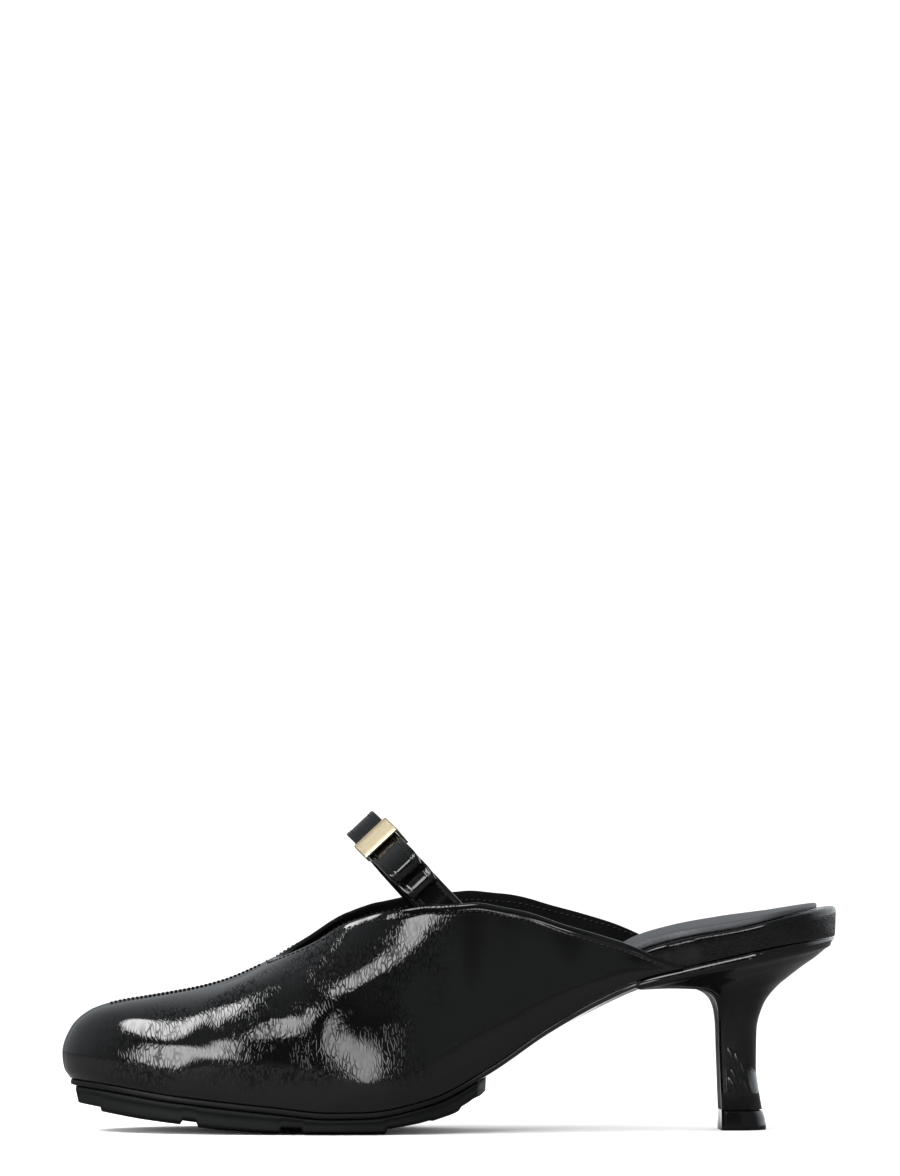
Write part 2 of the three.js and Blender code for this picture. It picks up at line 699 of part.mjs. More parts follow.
// The strap: over the arch, and down inside the walls at both ends.
function buildStrap() {
  const steps = 30;
  const path = [
    { sink: strapInsert, turn: 90, spread: strapFlare },
    { sink: strapInsert / 2, turn: 90, spread: strapFlare / 2 },
    ...shares(steps).map((t) => ({ sink: 0, turn: 90 - 180 * t, spread: 0 })),
    { sink: strapInsert / 2, turn: -90, spread: strapFlare / 2 },
    { sink: strapInsert, turn: -90, spread: strapFlare },
  ];
  const sections = path.map(({ sink, turn, spread }) => {
    const { side, outward } = archPoint(turn);
    return bandCorners.map(([across, out]) => {
      const place = side.clone().addScaledVector(outward, (out * strapThickness) / 2 + spread);
      place.y -= sink;
      return leaning(place, (across * strapWidth) / 2);
    });
  });
  return bandOf(sections, false);
}

// Middles of the bow's four layers outward from the strap, at a distance from the clasp.
const layerStep = bowLeather + clearance;
const lowerBottom = () => strapThickness / 2 + clearance + bowLeather / 2;
const lowerTop = (reach) =>
  lowerBottom() + layerStep + lowerLoopLift * smooth(Math.abs(reach) / lowerLoopReach, 0.3, 1);
const upperBottom = (reach) => lowerTop(reach) + layerStep;
const upperTop = (reach) =>
  upperBottom(reach) + layerStep + upperLoopLift * smooth(Math.abs(reach) / upperLoopReach, 0.27, 0.8);

// A flat ring of leather between two layers, folded round at both ends.
function buildLoops(reachEnd, bottom, top) {
  const fold = (top(reachEnd) - bottom(reachEnd)) / 2;
  const straight = reachEnd - fold;
  const middle = (top(straight) + bottom(straight)) / 2;
  const radius = (top(straight) - bottom(straight)) / 2;
  const steps = shares(16).map((t) => mix(-straight, straight, t));
  const around = shares(6).slice(1, -1).map((t) => t * Math.PI);
  const path = [
    ...steps.map((reach) => new THREE.Vector2(reach, top(reach))),
    ...around.map((a) => new THREE.Vector2(straight + fold * Math.sin(a), middle + radius * Math.cos(a))),
    ...steps.toReversed().map((reach) => new THREE.Vector2(reach, bottom(reach))),
    ...around.map((a) => new THREE.Vector2(-straight - fold * Math.sin(a), middle - radius * Math.cos(a))),
  ];
  const count = path.length;
  const sections = path.map((point, i) => {
    const tangent = path[(i + 1) % count].clone().sub(path[(i + count - 1) % count]).normalize();
    const normal = new THREE.Vector2(-tangent.y, tangent.x);
    return bandCorners.map(([across, out]) => {
      const at = point.clone().addScaledVector(normal, (out * bowLeather) / 2);
      return bowPoint(at.x, at.y, (across * bowWidth) / 2);
    });
  });
  return bandOf(sections, true);
}

// The clasp: a flat plate over the bow, with a short flange in front and a long, narrowing one
// behind. Its corners run around the section, each with half its length along the strap.
function buildClasp() {
  const { side, outward } = archPoint(claspTurn);
  const along = new THREE.Vector2(outward.y, -outward.x);
  const inner = strapWidth / 2 + clearance;
  const outer = inner + claspWall;
  const under = upperTop(0) + bowLeather / 2 + clearance;
  const over = under + claspWall;
  const low = -strapThickness / 2;
  const front = over - claspFrontDepth;
  const half = claspLength / 2;
  const flange = claspFlange / 2;
  const corners = [
    { wide: -outer, off: front, half },
    { wide: -outer, off: over, half },
    { wide: outer, off: over, half },
    { wide: outer, off: low, half: flange },
    { wide: inner, off: low, half: flange },
    { wide: inner, off: under, half },
    { wide: -inner, off: under, half },
    { wide: -inner, off: front, half },
  ];
  const points = [-1, 1].flatMap((end) => corners.map((corner) => {
    const place = side.clone()
      .addScaledVector(outward, corner.off)
      .addScaledVector(along, end * corner.half);
    return leaning(place, corner.wide);
  }));
  const count = corners.length;
  const faces = [];
  const quad = (a, b, c, d) => faces.push(a, b, c, a, c, d);
  for (const [a, b, c, d] of [[0, 1, 6, 7], [1, 2, 5, 6], [2, 3, 4, 5]]) {
    quad(a, b, c, d);
    quad(count + a, count + d, count + c, count + b);
  }
  for (let k = 0; k < count; k++) {
    const next = (k + 1) % count;
    quad(k, count + k, count + next, next);
  }
  return geometryOf(points, faces);
}

const patent = { color: "#15171a", roughness: 0.18, metalness: 0 };
const rubber = { color: "#1c1d1e", roughness: 0.55, metalness: 0 };
const soleBlack = { color: "#1a1b1c", roughness: 0.3, metalness: 0 };
const lining = { color: "#202225", roughness: 0.5, metalness: 0 };
const paleGold = { color: "#c9bb93", roughness: 0.28, metalness: 1 };

const pieces = [
  ["upper", buildUpper(), patent],
  ["outsole", buildOutsole(), soleBlack],
  ["forefoot_sole", buildForefootSole(), rubber],
  ["heel", buildHeel(), patent],
  ["top_lift", buildTopLift(), soleBlack],
  ["footbed", buildFootbed(), patent],
  ["sock_pad", buildSockPad(), lining],
  ["strap", buildStrap(), patent],
  ["bow_lower_loops", buildLoops(lowerLoopReach, lowerBottom, lowerTop), patent],
  ["bow_upper_loops", buildLoops(upperLoopReach, upperBottom, upperTop), patent],
  ["bow_clasp", buildClasp(), paleGold],
];

const shoe = new THREE.Group();
for (const [name, geometry, look] of pieces) {
  const mesh = new THREE.Mesh(geometry, new THREE.MeshStandardMaterial(look));
  mesh.name = name;
  shoe.add(mesh);
}

// The origin lies under the middle of the shoe, on the floor.
const extent = new THREE.Box3().setFromObject(shoe);
const middle = extent.getCenter(new THREE.Vector3());
shoe.position.set(-middle.x, -middle.y, -extent.min.z);

export default shoe;
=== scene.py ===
import math

import bpy
import numpy as np
from mathutils import Matrix


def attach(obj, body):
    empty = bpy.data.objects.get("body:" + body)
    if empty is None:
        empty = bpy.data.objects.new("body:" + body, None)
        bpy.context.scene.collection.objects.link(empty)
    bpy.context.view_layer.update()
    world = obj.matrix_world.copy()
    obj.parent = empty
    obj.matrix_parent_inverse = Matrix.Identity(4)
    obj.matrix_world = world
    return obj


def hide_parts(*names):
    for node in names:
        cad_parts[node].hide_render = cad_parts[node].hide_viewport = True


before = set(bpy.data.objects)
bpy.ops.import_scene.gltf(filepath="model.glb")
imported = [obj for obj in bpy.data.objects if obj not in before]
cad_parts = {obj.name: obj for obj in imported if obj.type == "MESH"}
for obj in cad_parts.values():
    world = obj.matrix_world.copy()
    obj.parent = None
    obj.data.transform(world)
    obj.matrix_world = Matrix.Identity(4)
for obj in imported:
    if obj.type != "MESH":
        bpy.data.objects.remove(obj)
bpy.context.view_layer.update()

# Camera: a long lens far away, a little higher than the strap's foot and a little toward the toe,
# so that the outer side is seen almost square and the far topline shows over the near one.
sensor_wide = 36
image_high = 1176
pixels_per_mm = 3.222
view_distance = 2.0
view_turn = math.radians(-3)
view_height = 0.085
view_aim = (0.0, 0.0, 0.168)

camera = bpy.data.objects.new("camera", bpy.data.cameras.new("camera"))
camera.data.sensor_width = sensor_wide
camera.data.lens = sensor_wide * pixels_per_mm * view_distance * 1000 / image_high
camera.location = (
    view_distance * math.sin(view_turn),
    -view_distance * math.cos(view_turn),
    view_height,
)
bpy.context.scene.collection.objects.link(camera)
bpy.context.scene.camera = camera
bpy.context.view_layer.update()
look = np.array(view_aim) - np.array(camera.location)
camera.rotation_euler = (
    math.pi / 2 + math.atan2(look[2], math.hypot(look[0], look[1])),
    0,
    math.atan2(look[1], look[0]) - math.pi / 2,
)

# Studio: seamless white paper, a white room, and five soft lights with fading edges, two on the
# toe's side and three round the camera's line. In the gloss of black leather the room is dim,
# with a window toward the toe, a pale wall behind on the right and a black curtain round the
# camera, and the paper is grey but for a white patch behind the waist.
paper_white = "#f4f4f4"
paper_mirrored = "#5c5c5e"
patch_front = (-0.005, 0.02)
patch_middle = 0.03
patch_half = (0.035, 0.06)
floor_half = 30.0
room_light = 1.4
room_dim = 0.165
room_tint = (0.94, 1.0, 1.04)
# Directions from the shoe. A start is the cosine of the angle from it where the glow begins.
window_side = (-0.55, 0.5, 0.67)
window_start = 0.35
window_glow = 0.14
pale_wall_side = (0.75, 0.64, 0.17)
pale_wall_start = 0.6
pale_wall_glow = 1.1
curtain_turn = -8
curtain_up = 18
curtain_spread = (22, 12)
curtain_share = 0.1
bpy.context.scene.view_settings.view_transform = "Standard"


def linear(code):
    """The linear colour of an sRGB hex code."""
    share = np.array([int(code[i : i + 2], 16) for i in (1, 3, 5)]) / 255
    return (*np.where(share < 0.04045, share / 12.92, ((share + 0.055) / 1.055) ** 2.4), 1.0)


def feed(tree, node, feeds):
    """Gives inputs of a node their values: numbers, sockets, or nodes by their first output."""
    for name, value in feeds.items():
        if isinstance(value, bpy.types.Node):
            value = value.outputs[0]
        if isinstance(value, bpy.types.NodeSocket):
            tree.links.new(value, node.inputs[name])
        else:
            node.inputs[name].default_value = value


def add_node(tree, kind, settings, feeds):
    """Adds a shader node with its settings and what feeds its inputs."""
    node = tree.nodes.new("ShaderNode" + kind)
    for name, value in settings.items():
        setattr(node, name, value)
    feed(tree, node, feeds)
    return node


eased = {"interpolation_type": "SMOOTHSTEP"}
times = {"operation": "MULTIPLY"}
dot = {"operation": "DOT_PRODUCT"}
colours = {"data_type": "RGBA"}


def new_material(name, shader):
    """A material whose surface is the Principled shader with these inputs, and its node tree."""
    material = bpy.data.materials.new(name)
    material.use_nodes = True
    material.node_tree.nodes.clear()
    tree = material.node_tree
    surface = add_node(tree, "BsdfPrincipled", {}, shader)
    add_node(tree, "OutputMaterial", {}, {"Surface": surface.outputs[0]})
    return material, tree, surface


floor_mesh = bpy.data.meshes.new("paper_floor")
floor_mesh.from_pydata(
    [(x * floor_half, y * floor_half, 0) for x, y in [(-1, -1), (1, -1), (1, 1), (-1, 1)]],
    [],
    [(0, 1, 2, 3)],
)
paper_floor = bpy.data.objects.new("paper_floor", floor_mesh)
bpy.context.scene.collection.objects.link(paper_floor)
paper, tree, surface = new_material("matt_white_paper", {"Roughness": 0.9})
white, grey = linear(paper_white), linear(paper_mirrored)
rays = add_node(tree, "LightPath", {}, {})
place = add_node(tree, "TexCoord", {}, {})
across = add_node(tree, "SeparateXYZ", {}, {0: place.outputs["Object"]})
low, high = patch_front
behind = add_node(tree, "MapRange", eased, {0: across.outputs["Y"], 1: low, 2: high})
aside = add_node(tree, "Math", {"operation": "SUBTRACT"}, {0: across.outputs["X"], 1: patch_middle})
distance = add_node(tree, "Math", {"operation": "ABSOLUTE"}, {0: aside})
low, high = patch_half
beside = add_node(tree, "MapRange", eased, {0: distance, 1: low, 2: high, 3: 1.0, 4: 0.0})
patch = add_node(tree, "Math", times, {0: behind, 1: beside})
mirrored = add_node(tree, "Mix", colours, {0: patch, 6: grey, 7: white})
tone = add_node(
    tree, "Mix", colours, {0: rays.outputs["Is Glossy Ray"], 6: white, 7: mirrored.outputs[2]}
)
feed(tree, surface, {"Base Color": tone.outputs[2]})
floor_mesh.materials.append(paper)

room = bpy.data.worlds.new("studio_room")
bpy.context.scene.world = room
room.use_nodes = True
sky = room.node_tree
sky.nodes.clear()
rays = add_node(sky, "LightPath", {}, {})
direction = add_node(sky, "TexCoord", {}, {}).outputs["Generated"]
cosine = add_node(sky, "VectorMath", dot, {0: direction, 1: window_side}).outputs["Value"]
window = add_node(
    sky,
    "MapRange",
    eased,
    {0: cosine, 1: window_start, 2: 1.0, 3: room_dim, 4: room_dim + window_glow},
)
cosine = add_node(sky, "VectorMath", dot, {0: direction, 1: pale_wall_side}).outputs["Value"]
pale_wall = add_node(
    sky, "MapRange", eased, {0: cosine, 1: pale_wall_start, 2: 1.0, 3: 0.0, 4: pale_wall_glow}
)
level = add_node(sky, "Math", {"operation": "ADD"}, {0: window, 1: pale_wall})
turn, up = math.radians(curtain_turn), math.radians(curtain_up)
curtain_side = (math.cos(up) * math.sin(turn), -math.cos(up) * math.cos(turn), math.sin(up))
cosine = add_node(sky, "VectorMath", dot, {0: direction, 1: curtain_side}).outputs["Value"]
wide, narrow = (math.cos(math.radians(spread)) for spread in curtain_spread)
curtain = add_node(sky, "MapRange", eased, {0: cosine, 1: wide, 2: narrow, 3: 1.0, 4: curtain_share})
dimmed = add_node(sky, "Math", times, {0: level, 1: curtain})
tinted = add_node(sky, "VectorMath", {"operation": "SCALE"}, {0: room_tint, "Scale": dimmed})
seen = add_node(sky, "Mix", colours, {0: rays.outputs["Is Glossy Ray"], 6: (1, 1, 1, 1), 7: tinted})
glow = add_node(sky, "Background", {}, {"Color": seen.outputs[2], "Strength": room_light})
add_node(sky, "OutputWorld", {}, {"Surface": glow})

# Soft lights: `turn` runs from the camera's side, negative toward the toe, and `up` from the
# floor. `roll` turns a light round its middle, and `gloss` is how bright it shows in gloss. Its
# cloth fades out between two distances from the middle, shares of its width. All of them aim at
# a place 40 mm over the floor.
soft_boxes = {
    "toe_box": {"turn": -73, "up": 45, "roll": -32, "away": 0.75, "size": (0.66, 0.31), "gloss": 10.8},
    "low_box": {"turn": -47, "up": 11, "roll": 9, "away": 1.5, "size": (1.16, 0.74), "gloss": 7.5},
    "bend_box": {"turn": -21, "up": 25, "roll": 44, "away": 1.5, "size": (0.28, 0.48), "gloss": 6.5},
    "back_box": {"turn": -0.4, "up": 8, "roll": 18, "away": 0.8, "size": (0.19, 0.36), "gloss": 4.4},
    "top_box": {"turn": -4, "up": 45, "roll": 25, "away": 1.5, "size": (0.42, 0.72), "gloss": 8.5},
}
cloth_fade = (0.36, 0.52)
lights_aim = 0.04
low, high = cloth_fade
for name, box in soft_boxes.items():
    turn, up = math.radians(box["turn"]), math.radians(box["up"])
    lamp = bpy.data.lights.new(name, "AREA")
    lamp.shape = "RECTANGLE" if name == "top_box" else "ELLIPSE"
    lamp.size, lamp.size_y = box["size"]
    lamp.energy = box["gloss"] * math.pi * lamp.size * lamp.size_y
    lamp.use_nodes = True
    cloth = lamp.node_tree
    spot = add_node(cloth, "NewGeometry", {}, {}).outputs["Parametric"]
    off_middle = add_node(
        cloth, "VectorMath", {"operation": "DISTANCE"}, {0: spot, 1: (0.5, 0.5, 0)}
    ).outputs["Value"]
    fade = add_node(cloth, "MapRange", eased, {0: off_middle, 1: low, 2: high, 3: 1.0, 4: 0.0})
    feed(cloth, cloth.nodes["Emission"], {"Strength": fade})
    soft_box = bpy.data.objects.new(name, lamp)
    soft_box.location = (
        box["away"] * math.cos(up) * math.sin(turn),
        -box["away"] * math.cos(up) * math.cos(turn),
        box["away"] * math.sin(up) + lights_aim,
    )
    roll = Matrix.Rotation(math.radians(box["roll"]), 3, "Z")
    tilt = Matrix.Rotation(math.pi / 2 - up, 3, "X") @ roll
    soft_box.rotation_euler = (Matrix.Rotation(turn, 3, "Z") @ tilt).to_euler()
    bpy.context.scene.collection.objects.link(soft_box)

# Upper: crinkled black patent leather over a thin smooth lining, in two halves that meet in a
# raised seam from the toe to the throat. It is lasted round the footbed, and its topline is
# folded over and stitched all round, over a thin cord on the two sides.
toe_at = np.array([119.944, -0.4946, 0.0])
shoe_length = 240
ball_width = 77
seat_width = 53
heel_height = 60
side_height = 60
instep_width = 53
toe_round = 40
toe_power = 2.2
back_power = 2
toe_overhang = 2.5
throat_round = 40
throat_power = 1.5
clearance = 0.3
throat_at = 0.2737 * shoe_length
outer_wing_end = 0.792 * shoe_length
inner_wing_end = 0.846 * shoe_length
top_closing = 0.2 * shoe_length
ball_at = 0.25 * shoe_length
quarter_at = 0.46 * shoe_length
upper_wall = 1.6
wing_edge = 0.9
wing_skive = 0.9
inner_crease_shift = (3, -1)
seam_height = 0.5
seam_width = 2.6
edge_cord = 0.16
cord_width = (0.9, 2.0)
cord_run = 45
stitch_inset = 2.1
stitch_step = 1.9
stitch_long = 1.35
stitch_press = 0.06
stitch_press_width = 0.5
thread = 0.42
thread_lift = 0.02
seam_stitch_off = 0.45

# Plan of the shoe: `along` is a share of its length, `shift` of the ball width toward the inner
# side, and `ball` and `seat` are the shares of the two half widths that give the half width.
plan = {
    "along": [0, 0.083, 0.167, 0.25, 0.325, 0.4, 0.48, 0.5625, 0.645, 0.73, 0.81, 0.8875, 1],
    "shift": [0.055, 0.05, 0.035, 0.012, -0.006, -0.028, -0.048, -0.058, -0.045, -0.022, -0.006, 0, 0],
    "ball": [0.66, 0.77, 0.89, 0.97, 1, 0.95, 0.81, 0.45, 0.15, 0, 0, 0, 0],
    "seat": [0, 0, 0, 0, 0, 0, 0, 0.34, 0.7, 0.936, 0.985, 1, 1],
}
# Feather line, where upper and sole meet: `height` is a share of the heel height.
feather = {
    "along": [0, 0.04, 0.14, 0.265, 0.34, 0.385, 0.47, 0.545, 0.62, 0.685, 0.745, 0.79, 0.865, 0.93, 1],
    "height": [
        0.277, 0.26, 0.2, 0.145, 0.117, 0.12, 0.19, 0.345, 0.545, 0.69, 0.795, 0.84, 0.91, 0.962, 1,
    ],
}
# Topline above the feather line on the two sides: shares of the side height.
topline = {
    "along": [0.274, 0.312, 0.37, 0.41, 0.455, 0.52, 0.573, 0.643, 0.715, 0.76, 0.792, 0.846],
    "outer": [0.745, 0.832, 0.968, 1, 0.99, 0.892, 0.73, 0.463, 0.228, 0.087, 0.014, 0.014],
    "inner": [0.745, 0.86, 1.005, 1.045, 1.04, 0.945, 0.8, 0.55, 0.32, 0.18, 0.095, 0.014],
}
# Where the rib that starts at `foot` on the feather line ends on the topline, shares of length.
rib_end = {
    "foot": [0, 0.125, 0.25, 0.33, 0.4, 0.47, 0.55, 0.846],
    "top": [0.274, 0.283, 0.32, 0.367, 0.413, 0.472, 0.55, 0.846],
}
# A rib from the feather line up, at the toe, beside the ball and on the quarter: shares of its
# way inward and of its rise, and the quarter's swell as a share of its rise.
rib_shape = {
    "rib": [0, 0.04, 0.1, 0.2, 0.3, 0.4, 0.5, 0.6, 0.7, 0.8, 0.9, 1],
    "toe_in": [0, -0.024, -0.031, 0.013, 0.115, 0.241, 0.371, 0.503, 0.633, 0.76, 0.883, 1],
    "toe_up": [0, 0.075, 0.211, 0.423, 0.569, 0.634, 0.672, 0.71, 0.753, 0.813, 0.9, 1],
    "ball_in": [0, -0.017, -0.03, -0.04, -0.015, 0.045, 0.14, 0.27, 0.43, 0.61, 0.8, 1],
    "ball_up": [0, 0.05, 0.125, 0.25, 0.375, 0.495, 0.61, 0.71, 0.795, 0.865, 0.935, 1],
    "side_in": [0, 0.005, 0.02, 0.06, 0.12, 0.2, 0.3, 0.42, 0.55, 0.7, 0.85, 1],
    "swell": [0, 0.01, 0.022, 0.034, 0.038, 0.038, 0.035, 0.03, 0.022, 0.014, 0.006, 0],
}
# Soft folds of the patent: from one place (s, z) to another, with the width of the fold and its
# height. A shoulder runs up to the strap, a swell lies along the foot of the ball, and small
# creases fan out below the strap and across the ball, where the foot bends. The inner side has
# the same ones, shifted.
creases = {
    "from_s": [70, 78, 93, 62, 70, 78, 84, 90, 47, 55, 99, 108, 66, 74],
    "from_z": [34, 12, 65, 43, 45, 47, 38, 36, 36, 38, 60, 62, 24, 22],
    "to_s": [128, 124, 113, 66, 75, 84, 80, 83, 52, 60, 92, 100, 74, 83],
    "to_z": [70, 14, 73, 33, 34, 35, 22, 20, 28, 29, 50, 51, 15, 14],
    "wide": [5.5, 7, 4, 1.6, 1.8, 2, 2.4, 2.2, 1.5, 1.6, 2.2, 2.4, 2, 2],
    "high": [0.7, 0.5, 0.5, 0.08, -0.1, 0.08, -0.04, 0.03, 0.05, -0.06, 0.05, -0.05, 0.03, -0.03],
}


def curve(table, key, name, at):
    """Reads one column of a table as a smooth curve that never swings past its rows: a cubic
    between each two rows, whose slope at a row is the harmonic mean of the slopes beside it."""
    x, y = np.array(table[key], float), np.array(table[name], float)
    slope = np.diff(y) / np.diff(x)
    before, after = slope[:-1], slope[1:]
    total = np.where(before * after > 0, before + after, 1)
    inner = np.where(before * after > 0, 2 * before * after / total, 0)
    tangent = np.concatenate([slope[:1], inner, slope[-1:]])
    at = np.clip(at, x[0], x[-1])
    i = np.clip(np.searchsorted(x, at) - 1, 0, len(x) - 2)
    span = x[i + 1] - x[i]
    t = (at - x[i]) / span
    bend = t * (1 - t) * (tangent[i] * (1 - t) - tangent[i + 1] * t) * span
    return y[i] + (y[i + 1] - y[i]) * t * t * (3 - 2 * t) + bend


def smooth(x, low, high):
    """0 below low, 1 above high, and an S-shaped cubic between them."""
    t = np.clip((x - low) / (high - low), 0, 1)
    return t * t * (3 - 2 * t)


def mix(a, b, t):
    """The place between a and b at a share t of the way."""
    return a + (b - a) * t


def rounded_end(distance, run, power):
    """A width that starts at 0 and rounds out to 1 over run: a superellipse's quarter."""
    return np.sqrt(1 - (1 - np.clip(distance / run, 0, 1)) ** power)


def feather_z(s):
    """Height of the feather line."""
    return heel_height * curve(feather, "along", "height", s / shoe_length)


def sole_shift(s):
    """How far the middle of the sole lies toward the inner side."""
    return ball_width * curve(plan, "along", "shift", s / shoe_length)


def sole_half(s):
    """Half the sole's width: the plan's, rounded off at the toe and at the back."""
    at = s / shoe_length
    base = ball_width * curve(plan, "along", "ball", at) + seat_width * curve(plan, "along", "seat", at)
    toe = rounded_end(s - toe_overhang, toe_round, toe_power)
    return base / 2 * toe * rounded_end(shoe_length - s, seat_width / 2, back_power)


def outline(s, side, inset):
    """The sole's edge at s, moved inward by inset along its normal, and that normal's x and y:
    side is -1 on the outer and 1 on the inner side."""
    step = 0.05
    ahead = np.maximum(s - step, toe_overhang)
    behind = np.minimum(s + step, shoe_length)
    dx = behind - ahead
    dy = sole_shift(behind) - sole_shift(ahead) + side * (sole_half(behind) - sole_half(ahead))
    long = np.hypot(dx, dy)
    out_x, out_y = -dy * side / long, dx * side / long
    y = sole_shift(s) + side * sole_half(s)
    return s - inset * out_x, y - inset * out_y, out_x, out_y


def wing_end(side):
    """Where the topline runs out on the footbed on that side."""
    return np.where(side < 0, outer_wing_end, inner_wing_end)


def topline_point(s, side):
    """The topline at s: over the plan's edge at the wing's end, and drawn in to the instep's
    width ahead of it, with a rounded throat."""
    closing = smooth(wing_end(side) - s, 0, top_closing)
    half = mix(sole_half(s), instep_width / 2, closing)
    middle = mix(sole_shift(s), 0, closing)
    front = rounded_end(s - throat_at, throat_round, throat_power)
    at = s / shoe_length
    share = np.where(
        side < 0, curve(topline, "along", "outer", at), curve(topline, "along", "inner", at)
    )
    return s, middle + side * half * front, feather_z(s) + side_height * share


def upper_face(foot, side, rib):
    """The upper's outer face: a rib leads from foot on the feather line to the topline, and its
    shape blends from the toe's to the ball's to the quarter's."""
    base_x, base_y, out_x, out_y = outline(foot, side, 0)
    base_z = feather_z(foot)
    top = shoe_length * curve(rib_end, "foot", "top", foot / shoe_length)
    top_x, top_y, top_z = topline_point(top, side)
    to_ball = smooth(foot, toe_overhang, ball_at)
    to_side = smooth(foot, ball_at, quarter_at)
    shape = {name: curve(rib_shape, "rib", name, rib) for name in rib_shape if name != "rib"}
    inward = mix(mix(shape["toe_in"], shape["ball_in"], to_ball), shape["side_in"], to_side)
    up = mix(mix(shape["toe_up"], shape["ball_up"], to_ball), rib, to_side)
    swell = shape["swell"] * to_side * (top_z - base_z)
    return np.stack(
        [
            mix(base_x, top_x, inward) + out_x * swell,
            mix(base_y, top_y, inward) + out_y * swell,
            mix(base_z, top_z, up),
        ],
        axis=-1,
    )


def unit(v):
    """Vectors of length 1 in the same directions."""
    return v / np.maximum(np.linalg.norm(v, axis=-1, keepdims=True), 1e-9)


def crease_height(x, z, table):
    """Sum of a table's folds at a place: each is a bell across its line, fading out at both ends."""
    total = np.zeros(x.shape)
    for from_s, from_z, to_s, to_z, wide, high in zip(*table.values()):
        line = np.array([to_s - from_s, to_z - from_z], float)
        long = np.hypot(*line)
        way = ((x - from_s) * line[0] + (z - from_z) * line[1]) / long**2
        off = ((x - from_s) * line[1] - (z - from_z) * line[0]) / long
        total += high * np.exp(-((off / wide) ** 2)) * smooth(way, 0, 0.4) * smooth(1 - way, 0, 0.4)
    return total


def add_mesh(name, points, quads, looks, looks_at):
    """Adds a mesh of quads in metres, from points in millimetres. Its faces point outwards: the
    volume they enclose has to come out positive."""
    place = (points - toe_at) / 1000
    a, b, c, d = (place[quads[:, k]] for k in range(4))
    if (a * np.cross(b, c)).sum() + (a * np.cross(c, d)).sum() < 0:
        quads = quads[:, ::-1]
    mesh = bpy.data.meshes.new(name)
    mesh.vertices.add(len(place))
    mesh.vertices.foreach_set("co", place.ravel())
    mesh.loops.add(quads.size)
    mesh.loops.foreach_set("vertex_index", quads.ravel())
    mesh.polygons.add(len(quads))
    mesh.polygons.foreach_set("loop_start", np.arange(0, quads.size, 4))
    mesh.polygons.foreach_set("loop_total", np.full(len(quads), 4))
    mesh.polygons.foreach_set("material_index", looks_at)
    mesh.update(calc_edges=True)
    mesh.validate()
    mesh.shade_smooth()
    for look in looks:
        mesh.materials.append(look)
    piece = bpy.data.objects.new(name, mesh)
    bpy.context.scene.collection.objects.link(piece)
    return piece


def make_piece(name, points, closed, looks, look_of=None):
    """Makes a mesh from points (sections, places, xyz): each section is a closed ring. A closed
    piece joins its last section to its first; another is capped by strips across its two ends.
    look_of gives each quad between two sections the number of its material."""
    sections, places, _ = points.shape
    number = np.arange(sections * places).reshape(sections, places)
    near = number if closed else number[:-1]
    far = np.roll(number, -1, 0) if closed else number[1:]
    quads = np.stack([near, far, np.roll(far, -1, 1), np.roll(near, -1, 1)], -1).reshape(-1, 4)
    looks_at = np.zeros(len(quads), int) if look_of is None else look_of.reshape(-1)
    if not closed:
        j = np.arange(places // 2 - 1)
        strip = np.stack([j, j + 1, places - 2 - j, places - 1 - j], -1)
        quads = np.concatenate([quads, strip, number[-1][strip[:, ::-1]]])
        looks_at = np.concatenate([looks_at, np.zeros(2 * len(strip), int)])
    return add_mesh(name, points.reshape(-1, 3), quads, looks, looks_at)


def way_along(path):
    """The way along a path to each of its points."""
    return np.concatenate([[0], np.cumsum(np.linalg.norm(np.diff(path, axis=0), axis=1))])


def at_way(path, at):
    """The places at these distances along a path."""
    way = way_along(path)
    return np.stack([np.interp(at, way, path[:, k]) for k in range(path.shape[1])], -1)


def resample(points, step):
    """Points at equal steps along a line of points, with the unit tangents there."""
    at = np.arange(step / 2, way_along(points)[-1], step)
    return at_way(points, at), unit(at_way(points, at + step / 4) - at_way(points, at - step / 4))


